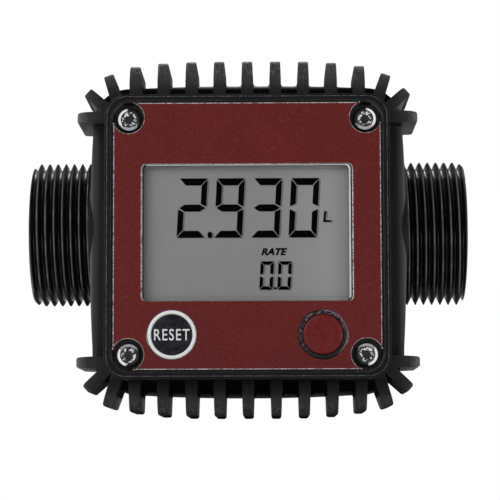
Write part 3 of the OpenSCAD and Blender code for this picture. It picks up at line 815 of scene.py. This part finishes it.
def rounded_outline(low, high, r, inset, steps=10):
    """Rounded rectangle as (x, z) points. inset is how far it shrinks at the left, right, bottom
    and top."""
    x0, x1 = low[0] + inset[0] + r, high[0] - inset[1] - r
    z0, z1 = low[2] + inset[2] + r, high[2] - inset[3] - r
    points = []
    for k, (x, z) in enumerate(((x1, z1), (x0, z1), (x0, z0), (x1, z0))):
        for i in range(steps + 1):
            angle = math.pi / 2 * (k + i / steps)
            points.append((x + r * math.cos(angle), z + r * math.sin(angle)))
    return points


def band(outer, outer_y, inner, inner_y):
    """Strip between two outlines of as many points, facing -Y."""
    n = len(outer)
    points = [(x, outer_y, z) for x, z in outer] + [(x, inner_y, z) for x, z in inner]
    return points, [[i, n + i, n + (i + 1) % n, (i + 1) % n] for i in range(n)]


def front_edge_bands(node, width):
    """Thin strips just inside the edges of a CAD node's flat front, and a hair in front of it.

    width is a rule: it takes how far an edge is from the display's middle across and up, in
    millimetres, and whether the edge is on the outside, and gives 0 where no strip is wanted."""
    mesh = NODES[node].data
    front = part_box(node)[0][1] + HAIR
    centre = Vector((PLATE_X, front, PLATE_Z))
    spot = lambda i: tuple(round(c, 6) for c in mesh.vertices[i].co)
    beside = {}
    for polygon in mesh.polygons:
        if polygon.normal.y < -0.99 and polygon.center.y < front:
            for i, j in polygon.edge_keys:
                beside.setdefault(frozenset((spot(i), spot(j))), []).append((polygon, i, j))
    points, faces = [], []
    for uses in beside.values():
        if len(uses) != 1:
            continue
        polygon, i, j = uses[0]
        a, b = mesh.vertices[i].co, mesh.vertices[j].co
        inward = (b - a).cross(Vector((0, 1, 0))).normalized()
        if inward.dot(polygon.center - a) < 0:
            inward.negate()
            a, b = b, a
        away = (a + b) / 2 - centre
        wide = width(abs(away.x) / MM, abs(away.z) / MM, inward.dot(away) < 0)
        if wide:
            forward = Vector((0, -HAIR, 0))
            start = len(points)
            corners = (a, b, b + inward * wide, a + inward * wide)
            points += [tuple(corner + forward) for corner in corners]
            faces.append([start + 3, start + 2, start + 1, start])
    return points, faces


def dot_outline(x, z, rx, rz, steps=20):
    turns = [2 * math.pi * i / steps for i in range(steps)]
    return [(x + rx * math.cos(turn), z + rz * math.sin(turn)) for turn in turns]


def segment_outlines(width, height, across, upright, gap):
    """The seven bars of a digit about its middle: top, two upper, middle, two lower and bottom."""
    w, h = width / 2, height / 2
    out = w - 0.2 * gap
    top = [(-out, h), (out, h), (w - upright - gap, h - across), (-w + upright + gap, h - across)]
    side = [
        (w, h - 1.5 * gap),
        (w, 1.6 * gap),
        (w - upright, across * 0.5 + 0.8 * gap),
        (w - upright, h - across - gap),
    ]
    bar = across / 2
    tip = w - 1.3 * gap
    reach = tip - upright * 0.95
    centre = [(-tip, 0), (-reach, bar), (reach, bar), (tip, 0), (reach, -bar), (-reach, -bar)]
    mirrored = lambda points, x, z: [(px * x, pz * z) for px, pz in points][:: x * z]
    return {
        "a": top,
        "b": side,
        "c": mirrored(side, 1, -1),
        "d": mirrored(top, 1, -1),
        "e": mirrored(side, -1, -1),
        "f": mirrored(side, -1, 1),
        "g": centre,
    }


LIT = dict(zip("0123456789", (
    "abcdef", "bc", "abged", "abgcd", "fgbc", "afgcd", "afgedc", "abc", "abcdefg", "abcdfg"
)))


def number_outlines(text, x, z, pitch, size, strokes, gap, slant, dot):
    """Outlines of a number whose first digit is centred on (x, z). dot is (offset across, offset
    down, radius across, radius up)."""
    lean = math.tan(slant)
    outlines, place = [], x
    bars = segment_outlines(*size, *strokes, gap)
    for sign in text:
        if sign == ".":
            outlines.append(dot_outline(place - pitch + dot[0], z - dot[1], dot[2], dot[3]))
        else:
            for bar in LIT[sign]:
                outlines.append([(place + px + pz * lean, z + pz) for px, pz in bars[bar]])
            place += pitch
    return outlines


def word(text, place, size, lean=0.0, weight=0.0, apart=1.0):
    """Flat shape of a word with its middle at a place, fitted to a width and height."""
    curve = bpy.data.curves.new("word", "FONT")
    curve.body = text
    curve.shear = lean
    curve.offset = weight
    curve.space_character = apart
    curve.resolution_u = 4
    thing = linked("word", curve)
    bpy.context.view_layer.update()
    depsgraph = bpy.context.evaluated_depsgraph_get()
    mesh = bpy.data.meshes.new_from_object(thing.evaluated_get(depsgraph))
    flat = [v.co.xy for v in mesh.vertices]
    faces = [list(p.vertices) for p in mesh.polygons]
    low = [min(p[i] for p in flat) for i in (0, 1)]
    high = [max(p[i] for p in flat) for i in (0, 1)]
    scale = [size[i] / (high[i] - low[i]) for i in (0, 1)]
    fit = [[(p[i] - (low[i] + high[i]) / 2) * scale[i] for i in (0, 1)] for p in flat]
    bpy.data.objects.remove(thing)
    bpy.data.meshes.remove(mesh)
    x, y, z = place
    return [(x + px, y, z + pz) for px, pz in fit], faces


def trimmed_copy(node, name, finish, body, drop):
    """A copy of a CAD node's mesh without the faces that drop names, with the same shading."""
    source = NODES[node].data
    normals = [n.vector.copy() for n in source.corner_normals]
    points = [tuple(v.co) for v in source.vertices]
    faces, kept = [], []
    for polygon in source.polygons:
        if not drop([points[i] for i in polygon.vertices]):
            faces.append(list(polygon.vertices))
            kept += [normals[i] for i in polygon.loop_indices]
    mesh = bpy.data.meshes.new(name)
    mesh.from_pydata(points, [], faces)
    mesh.shade_smooth()
    mesh.normals_split_custom_set(kept)
    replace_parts(placed(mesh, name, finish, body), node)


def port_thread(end, direction, bore, sizes):
    """One threaded port: its end face, the thread, and a sleeve that runs on into the casing."""
    length = PORT["length_mm"] * MM + THREAD_PAST
    pitch = sizes.thread_pitch

    def radius(x, angle):
        """Radius at a distance from the end face. The thread fades out at its inner end."""
        phase = (x / pitch - angle / (2 * math.pi)) % 1.0
        ridge = 1.0 - abs(2.0 * phase - 1.0)
        ridge = min(1.0, max(0.0, (ridge - 0.08) / 0.88))
        fade = min(1.0, max(0.0, (length + 0.0001 - x) / (0.1 * pitch)))
        thread = THREAD_R - sizes.thread_depth * (1.0 - ridge) * fade
        return min(thread, THREAD_R - THREAD_BEVEL + x)

    step = pitch / THREAD_STEPS
    rings = [(bore - CLEAR, 0.0)]
    for i in range(int(length / step) + 1):
        x = i * step
        rings.append((lambda angle, x=x: radius(x, angle * direction), x * direction))
    rings.append((THREAD_R, (length + SLEEVE) * direction))
    shape = loft(rings, (end, 0.0, 0.0), "X", steps=112)
    return flipped(shape) if direction < 0 else shape


# Operators


class FLOWMETER_OT_casing(bpy.types.Operator):
    """Dress the casing and cut the threads on both ports"""

    bl_idname = "flowmeter.casing"
    bl_label = "Casing and threads"

    def execute(self, context):
        sizes = context.scene.meter_sizes
        colour = chosen(context, "casing")
        half = BODY_HIGH[0] - BODY_X
        wall = half - PORT["length_mm"] * MM - 0.0012
        bore = min(
            math.hypot(v.co.y, v.co.z)
            for v in NODES["meter_body"].data.vertices
            if v.co.x - BODY_LOW[0] < HAIR
        )

        def on_port(points):
            """True for the plain wall, the bevel and the end face of a port."""
            return all(
                abs(x - BODY_X) > half - HAIR
                or abs(x - BODY_X) > wall and -0.0005 < math.hypot(y, z) - PORT_R < 0.00005
                for x, y, z in points
            )

        black = moulded_black("casing_black", colour, dust_and_painted_light=rib_streaks_and_painted_light)
        trimmed_copy("meter_body", "casing_shell", black, "casing", on_port)
        left = port_thread(BODY_LOW[0], 1, bore, sizes)
        right = port_thread(BODY_HIGH[0], -1, bore, sizes)
        threads = thread_black("thread_black", colour)
        piece("port_threads", joined([left, right]), threads, smooth=35)
        return {"FINISHED"}


class FLOWMETER_OT_display_housing(bpy.types.Operator):
    """Dress the display housing, the face plate and the clear window"""

    bl_idname = "flowmeter.display_housing"
    bl_label = "Display housing and face plate"

    def execute(self, context):
        casing, plate = chosen(context, "casing"), chosen(context, "plate")
        black = moulded_black(
            "housing_black",
            tone(casing, 0.7),
            grain=3.2,
            depth=0.024,
            rough=0.45,
            scuffs=1.0,
            edge=0.0003,
            shine=0.25,
            dust_and_painted_light=well_painted_light,
        )
        dress(black, "display_housing")
        dress(plate_paint("plate_red", plate), "face_plate")
        dress(clear_window("window_clear"), "window_lens")

        def plate_line(across, up, outer):
            """Wide along the plate's outer edge, narrow round the wells, none round the window."""
            if max(across, up) > 29:
                return 2 * LINE
            return LINE if min(across, up) > 21.5 else 0

        def rim_line(across, up, outer):
            """Only along the rim's outer edge, for its painted highlight."""
            return 1.6 * LINE if outer and math.hypot(across, up) > 30 else 0

        edges = front_edge_bands("face_plate", plate_line)
        piece("plate_edges", edges, wear_and_highlight_edge("plate_worn", plate))
        edges = front_edge_bands("display_housing", rim_line)
        # painted highlight: a pale line along the housing rim's outer edge
        rubbed = wear_and_highlight_edge("rim_worn", tone(casing, 0.8), grey(0.02), grey(0.15), scale=0.3)
        piece("rim_edges", edges, rubbed)
        self.window(plate)
        dress(display_grey("gasket_grey", chosen(context, "display")), "window_seal")
        dress(seal_rubber("housing_gasket"), "housing_seal")
        return {"FINISHED"}

    def window(self, colour):
        """The plate's cut edge round the window, a black band inside it as painted shadow in the
        gap, and the window's step with its painted highlight.
        """
        wall = 0.00015
        outlines = [
            rounded_outline(LENS_LOW, LENS_HIGH, r, tuple(i - wall for i in inset))
            for r, inset in (
                (0.0011, (0, 0, 0, 0)),
                (0.001, (0.00032, 0.00026, 0.00004, 0.0001)),
                (0.001, (0.0006, 0.00054, 0.00003, 0.00016)),
                (0.0009, (0.00061, 0.00094, 0.00004, 0.0004)),
            )
        ]
        whole, cut, gap, step = outlines
        y = LENS_LOW[1] - CLEAR
        edge = band(whole, PLATE_Y + CLEAR, cut, PLATE_Y + 0.00012)
        piece("window_cut_edge", edge, wear_and_highlight_edge("cut_worn", colour))
        # painted shadow: a black band in the gap, wide at the left and right, thin at the top, none
        # at the bottom
        piece("window_border", band(cut, y, gap, y), ink("border_black", grey(0.003), rough=0.6))
        piece("window_step", band(gap, y, step, y - 0.00022), window_edge("step_clear"))


# The display's marks are laid out in units of which the large digits are 59.2 high. Each row has
# its first digit's place, the pitch, a digit's width and height, the bars' thickness (level and
# upright), the gap between them, and the point's place from the digit before it and its radii.
DIGIT_UNITS = 59.2
UNIT_WIDTH = 0.9884  # how wide a unit is for its height
ROWS = (
    (0, 0, 37.27, (28.0, 59.2), (7.0, 5.6), 0.85, (17.8, 26.8, 2.5, 3.3)),
    (74.3, -67.2, 17.85, (13.2, 28.2), (3.5, 3.2), 0.5, (8.5, 12.6, 1.3, 1.3)),
)
DISPLAY_INSET = 0.00088  # how far the display's front stands inside the window's edge, in metres
SHADOW = (0.00038, -0.0001)  # how far the digits' shadow is moved, in metres
FIRST_DIGIT = (-55.1, 27.91)  # its middle, from the display's middle
RATE_WORD = (82.1, -43.6)  # its middle, from the first digit's
RATE_SIZE = (26.3, 7.2)
LETTER_L = (134.9, -8.9)  # its middle, from the first digit's
LETTER_L_CORNERS = (
    (-4.0, -5.5), (4.1, -5.5), (4.3, -3.5), (-1.7, -3.5), (-0.5, 5.5), (-2.9, 5.5)
)


class FLOWMETER_OT_display(bpy.types.Operator):
    """Draw the display's digits and words, and dress the glass, its frame and its connectors"""

    bl_idname = "flowmeter.display"
    bl_label = "Liquid crystal display"

    def execute(self, context):
        sizes = context.scene.meter_sizes
        reflector = display_grey("display_grey", chosen(context, "display"))
        dress(reflector, "lcd_glass")
        back, face = GLASS_Y - CLEAR, LENS_HIGH[1] + 2 * CLEAR
        front = rounded_outline(LENS_LOW, LENS_HIGH, 0.0005, (DISPLAY_INSET,) * 4)
        piece("display_front", flat_marks([front], back, back - face), reflector)
        dress(moulded_black("frame_black", grey(0.012), grain=3.0, depth=0.024), "lcd_frame")
        dress(layered_rubber("connector_layers"), "lcd_connectors")
        black = ink("digit_black", grey(0.0008), shine=0.02)
        shadow = ink("digit_shadow", grey(0.02), rough=0.8, opacity=0.3)
        k = sizes.digit_height / DIGIT_UNITS
        w = UNIT_WIDTH * k
        x, z = PLATE_X + FIRST_DIGIT[0] * w, PLATE_Z + FIRST_DIGIT[1] * k
        marks = []
        for text, row in zip((sizes.reading, sizes.rate), ROWS):
            across, up, pitch, size, strokes, gap, dot = row
            marks += number_outlines(
                text,
                x + across * w,
                z + up * k,
                pitch * w,
                (size[0] * w, size[1] * k),
                (strokes[0] * k, strokes[1] * w),
                gap * k,
                sizes.digit_slant,
                (dot[0] * w, dot[1] * k, dot[2] * w, dot[3] * k),
            )
        across, up = LETTER_L
        marks.append([(x + (across + a) * w, z + (up + b) * k) for a, b in LETTER_L_CORNERS])
        piece("digit_marks", flat_marks(marks, face - HAIR, HAIR), black)
        moved = [[(px + SHADOW[0], pz + SHADOW[1]) for px, pz in outline] for outline in marks]
        piece("digit_shadows", flat_marks(moved, face - 0.1 * HAIR, 0.4 * HAIR), shadow)
        place = (x + RATE_WORD[0] * w, face - HAIR, z + RATE_WORD[1] * k)
        size = (RATE_SIZE[0] * w, RATE_SIZE[1] * k)
        piece("rate_word", word("RATE", place, size, lean=0.28, weight=0.05), black)
        return {"FINISHED"}


class FLOWMETER_OT_buttons(bpy.types.Operator):
    """Build the two button caps with their rings, plungers and switches"""

    bl_idname = "flowmeter.buttons"
    bl_label = "Buttons"

    def execute(self, context):
        red = tone(chosen(context, "plate"), 1.08)
        white = ink("mark_white", grey(0.82), rough=0.4)
        navy = (0.006, 0.0055, 0.009), (0.028, 0.028, 0.045)
        dark = cap_plastic("cap_dark", *navy, rough=0.5, mottled=0.8, shine=0.25)
        blotted = (0.175, 0.02, 0.023)
        red = cap_plastic("cap_red", red, blotted, rough=0.42, mottled=0.8, shine=0.3)
        white_ring = cap_plastic("ring_white", grey(0.93), grey(0.84), rough=0.3, mottled=0.3)
        dark_ring = knurled_ring("ring_dark")
        self.cap("reset_cap", "reset_button", dark, "reset_key", 0.00012)
        self.cap("calibration_cap", "calibration_button", red, "calibration_key", 0.0)
        self.ring("reset_ring", "reset_bezel", white_ring, 0)
        knurls = context.scene.meter_sizes.knurls
        self.ring("calibration_ring", "calibration_bezel", dark_ring, knurls)
        x, _, z = middle("reset_button")
        place = (x + 0.00004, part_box("reset_button")[0][1] - HAIR, z)
        letters = word("RESET", place, RESET_SIZE, weight=0.006, apart=1.16)
        piece("reset_word", letters, white, "reset_key")
        pusher = dull_package("plunger_white", (0.5, 0.5, 0.48), rough=0.35)
        dress(pusher, "reset_plunger", "calibration_plunger")
        cover = turned_metal("switch_cover", grey(0.6), rough=0.3)
        dress(cover, "reset_switch", "calibration_switch")
        return {"FINISHED"}

    def cap(self, name, node, finish, body, hollow):
        """A round cap with a softened edge, a hollow of that depth and a stem behind it."""
        low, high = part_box(node)
        x, _, z = middle(node)
        depth = high[1] - low[1]
        stem = 0.0016
        rings = [
            (0, hollow), (CAP_R * 0.45, hollow * 0.8), (CAP_R * 0.8, hollow * 0.3),
            (CAP_R - 0.0005, 0.00002), (CAP_R - 0.00022, 0.00008), (CAP_R - 0.00006, 0.00025),
            (CAP_R, 0.0005), (CAP_R, 0.0012), (stem, 0.0012),
            (stem, depth - 0.0001), (stem - 0.0001, depth), (0, depth),
        ]
        shape = loft(rings, (x, low[1], z), "Y", steps=72)
        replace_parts(piece(name, shape, finish, body, smooth=40), node)

    def ring(self, name, node, finish, knurls):
        """A ring round a cap, with fine teeth on its front where knurls isn't 0."""
        low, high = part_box(node)
        x, _, z = middle(node)
        r, depth = (high[0] - low[0]) / 2, high[1] - low[1]
        inner = CAP_R + 0.00008
        wide = r - inner

        def ripple(radius):
            if not knurls:
                return radius
            fine = lambda angle: 0.006 * math.sin(knurls * angle)
            coarse = lambda angle: 0.004 * math.sin(17 * angle + 1.3)
            return lambda angle: radius * (1 + fine(angle) + coarse(angle))

        rings = [
            (r, depth), (r, 0.00028), (r - wide * 0.15, 0.0001),
            (ripple(r - wide * 0.38), 0.0), (ripple(r - wide * 0.62), 0.0),
            (inner + wide * 0.15, 0.0001), (inner, 0.00028), (inner, depth),
        ]
        steps = 176 if knurls else 96
        shape = loft(rings, (x, low[1], z), "Y", steps, closed=True)
        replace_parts(piece(name, flipped(shape), finish, smooth=40), node)


class FLOWMETER_OT_screws(bpy.types.Operator):
    """Build the display screws with their drive recesses"""

    bl_idname = "flowmeter.screws"
    bl_label = "Screws"

    def execute(self, context):
        lobes = context.scene.meter_sizes.recess_lobes
        low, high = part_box("display_screws")
        length = high[1] - low[1]
        heads = [
            self.pan_head((x, low[1], z), length, lobes, 0.35 * x / MM + 0.2 * z / MM)
            for x in (low[0] + SCREW_R, high[0] - SCREW_R)
            for z in (low[2] + SCREW_R, high[2] - SCREW_R)
        ]
        zinc = screw_head_zinc("screw_zinc")
        screws = piece("display_screw_set", joined(heads), zinc, smooth=32)
        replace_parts(screws, "display_screws")
        steel = plated_steel("board_screw_zinc", (0.66, 0.67, 0.69), rough=0.16, grime=0.45)
        dress(steel, "board_screws")
        return {"FINISHED"}

    def pan_head(self, place, length, lobes, turned):
        """A pan head facing -Y with a lobed recess."""
        r, height, shank = SCREW_R, 0.002, 0.0015
        lobe = lambda radius: lambda angle: radius * (1 + 0.26 * math.cos(lobes * (angle + turned)))
        rings = [
            (0, 0.0011), (lobe(0.0010), 0.00108), (lobe(0.00118), 0.00014),
            (lobe(0.00126), 0.00003), (0.00166, 0.0), (0.00185, 0.00003),
            (r * 0.8, 0.00014), (r * 0.9, 0.00036), (r * 0.965, 0.0007),
            (r * 0.99, 0.0011), (r, 0.0015), (r, height - 0.0001), (r - 0.0001, height),
            (shank, height), (shank, length - 0.0004), (shank - 0.0004, length), (0, length),
        ]
        return loft(rings, place, "Y", steps=96)


class FLOWMETER_OT_measuring_set(bpy.types.Operator):
    """Dress the turbine, its shaft, magnets and bushes, and the guides with their rings"""

    bl_idname = "flowmeter.measuring_set"
    bl_label = "Turbine and guides"

    def execute(self, context):
        ivory = chosen(context, "turbine")
        nickel = plated_steel("magnet_nickel", (0.5, 0.5, 0.52), rough=0.25, grime=0.2)
        dress(turbine_polymer("rotor_ivory", ivory), "turbine_rotor")
        ground = turned_metal("shaft_ground", (0.6, 0.61, 0.63), rough=0.2, along="X")
        dress(ground, "rotor_shaft")
        dress(nickel, "rotor_magnets")
        guide = turbine_polymer("guide_grey", tone(ivory, 0.55))
        bush = dull_package("bush_carbon", (0.03, 0.03, 0.032), rough=0.4)
        spring = turned_metal("ring_spring", (0.4, 0.41, 0.43), rough=0.3, along="X")
        for finish, part in ((guide, "guide"), (bush, "bush"), (spring, "ring")):
            dress(finish, "inlet_" + part, "outlet_" + part)
        return {"FINISHED"}


class FLOWMETER_OT_electronics(bpy.types.Operator):
    """Dress the boards, the parts on them, the battery holder and the cells"""

    bl_idname = "flowmeter.electronics"
    bl_label = "Electronics and cells"

    def execute(self, context):
        nickel = plated_steel("contact_nickel", (0.6, 0.6, 0.58), rough=0.22, grime=0.2)
        dress(board_mask("board_green", (0.012, 0.11, 0.045)), "circuit_board", "sensor_board")
        chip = dull_package("chip_black", (0.015, 0.015, 0.016), rough=0.5)
        dress(chip, "controller_chip", "hall_sensor")
        dress(dull_package("component_tan", (0.36, 0.26, 0.16), rough=0.45), "board_components")
        dress(turned_metal("pin_gold", (0.75, 0.55, 0.2), rough=0.25), "sensor_pins")
        dress(turned_metal("insert_brass", (0.68, 0.5, 0.2), rough=0.3), "screw_inserts")
        dress(moulded_black("holder_black", grey(0.012), grain=2.4), "battery_holder")
        dress(nickel, "battery_contacts")
        jacket = cell_jacket("cell_printed")
        for node, way in (("upper_cell", 1), ("lower_cell", -1)):
            self.cell(node, jacket, way)
        return {"FINISHED"}

    def cell(self, node, finish, way):
        """A cell with its jacket turned in at both ends. way is the side of its positive end."""
        low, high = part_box(node)
        r, half = (high[2] - low[2]) / 2, (high[0] - low[0]) / 2
        rings = [
            (0, -half), (r * 0.55, -half), (r * 0.6, 0.0002 - half),
            (r - 0.0005, 0.0002 - half), (r, 0.0007 - half),
            (r, half - 0.0017), (r - 0.0006, half - 0.0011),
            (0.0021, half - 0.0011), (0.0019, half - 0.0001), (0.0018, half), (0, half),
        ]
        rings = [(radius, along * way) for radius, along in rings]
        shape = loft(rings, middle(node), "X", steps=48)
        shape = flipped(shape) if way < 0 else shape
        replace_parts(piece(node + "_jacket", shape, finish, smooth=40), node)


class FLOWMETER_OT_stage(bpy.types.Operator):
    """Set up the pale floor, the soft light and the camera"""

    bl_idname = "flowmeter.stage"
    bl_label = "Floor, light and camera"

    def execute(self, context):
        stage = context.scene.meter_stage
        self.floor()
        self.world(context, stage)
        for name, place, size, share in (
            ("key_lamp", (-0.6, -0.5, 0.3), 0.4, 1.0),
            ("fill_lamp", (0.65, -0.4, -0.05), 0.3, 0.85),
            ("top_lamp", (0.0, 0.5, 0.6), 0.35, 0.9),
        ):
            self.lamp(name, Vector(place), size, stage.key * share)
        self.camera(context, stage)
        context.scene.view_settings.view_transform = "Standard"
        return {"FINISHED"}

    def floor(self):
        """A pale floor that can't be seen from below."""
        half = 1.2
        low, high = CAD_BOX
        x, z = (low[0] + high[0]) / 2, low[2] - CLEAR
        corners = ((-half, -half), (half, -half), (half, half), (-half, half))
        mesh = bpy.data.meshes.new("floor")
        mesh.from_pydata([(x + a, b, z) for a, b in corners], [], [(0, 1, 2, 3)])
        floor = linked("floor", mesh)
        f = Finish("floor_pale")
        pale = f.surface(
            Base_Color=f.mix(f.noise(0.02, 2.0), grey(0.86), grey(0.9)),
            Roughness=0.9,
            Specular_IOR_Level=0.1,
        )
        clear = f.node("ShaderNodeBsdfTransparent")
        under = f.node("ShaderNodeNewGeometry", result="Backfacing")
        blend = f.node("ShaderNodeMixShader", {}, {0: under, 1: f.lit, 2: clear})
        plug(blend, f.output.inputs[0])
        mesh.materials.append(pale)

    def world(self, context, stage):
        """White where the camera sees it, and a soft room in the light and in reflections."""
        world = bpy.data.worlds.new("soft_studio")
        context.scene.world = world
        world.use_nodes = True
        nodes = Nodes(world.node_tree)
        ray = lambda kind: nodes.node("ShaderNodeLightPath", result="Is " + kind + " Ray")
        glossy, camera = ray("Glossy"), ray("Camera")
        seen = camera.combined("MAXIMUM", camera, ray("Transmission"))
        ahead = nodes.part(nodes.node("ShaderNodeTexCoord", result="Generated"), "Y")
        front = stage.mirrored_front
        room = ((ahead + 0.9) * 1.6).clamped() * (stage.mirrored - front) + front
        strength = glossy * room + (1.0 - glossy) * stage.ambient
        strength = seen + (1.0 - seen) * strength
        sockets = {"Color": (1, 1, 1), "Strength": strength}
        back = nodes.node("ShaderNodeBackground", {}, sockets)
        nodes.made("ShaderNodeOutputWorld", {}, {0: back})

    def lamp(self, name, place, size, power):
        """A square lamp that faces the middle of the part, at a place from there."""
        lamp = bpy.data.lights.new(name, "AREA")
        lamp.shape = "SQUARE"
        lamp.size = size
        lamp.energy = power
        thing = linked(name, lamp)
        thing.location = Vector(((CAD_BOX[0][0] + CAD_BOX[1][0]) / 2, 0, 0)) + place
        thing.rotation_euler = (-place).to_track_quat("-Z", "Y").to_euler()

    def camera(self, context, stage):
        camera = bpy.data.cameras.new("photo_camera")
        camera.sensor_width = 36
        camera.sensor_fit = "HORIZONTAL"
        camera.lens = stage.camera_lens
        camera.clip_start = 0.01
        camera.clip_end = 20
        thing = linked("photo_camera", camera)
        turned = (
            Matrix.Rotation(-stage.camera_yaw, 4, "Z")
            @ Matrix.Rotation(math.pi / 2 + stage.camera_pitch, 4, "X")
            @ Matrix.Rotation(stage.camera_roll, 4, "Z")
        )
        thing.matrix_world = Matrix.Translation(stage.camera_place) @ turned
        context.scene.camera = thing


OPERATORS = (
    FLOWMETER_OT_casing,
    FLOWMETER_OT_display_housing,
    FLOWMETER_OT_display,
    FLOWMETER_OT_buttons,
    FLOWMETER_OT_screws,
    FLOWMETER_OT_measuring_set,
    FLOWMETER_OT_electronics,
    FLOWMETER_OT_stage,
)
GROUPS = (
    (MeterSizes, "meter_sizes"),
    (MeterColours, "meter_colours"),
    (MeterStage, "meter_stage"),
)


class FLOWMETER_PT_panel(bpy.types.Panel):
    """Lists the steps and the settings of the flow meter's looks"""

    bl_idname = "FLOWMETER_PT_panel"
    bl_label = "Flow meter"
    bl_space_type = "VIEW_3D"
    bl_region_type = "UI"
    bl_category = "Flow meter"

    def draw(self, context):
        column = self.layout.column()
        for operator in OPERATORS:
            column.operator(operator.bl_idname)
        for group, name in GROUPS:
            box = self.layout.box()
            for key in group.__annotations__:
                box.prop(getattr(context.scene, name), key)


def register():
    for group, name in GROUPS:
        bpy.utils.register_class(group)
        setattr(bpy.types.Scene, name, PointerProperty(type=group))
    for operator in OPERATORS:
        bpy.utils.register_class(operator)
    bpy.utils.register_class(FLOWMETER_PT_panel)


def unregister():
    bpy.utils.unregister_class(FLOWMETER_PT_panel)
    for operator in reversed(OPERATORS):
        bpy.utils.unregister_class(operator)
    for group, name in reversed(GROUPS):
        delattr(bpy.types.Scene, name)
        bpy.utils.unregister_class(group)


def main():
    register()
    for operator in OPERATORS:
        getattr(bpy.ops.flowmeter, operator.bl_idname.split(".")[1])()


if __name__ == "__main__":
    main()
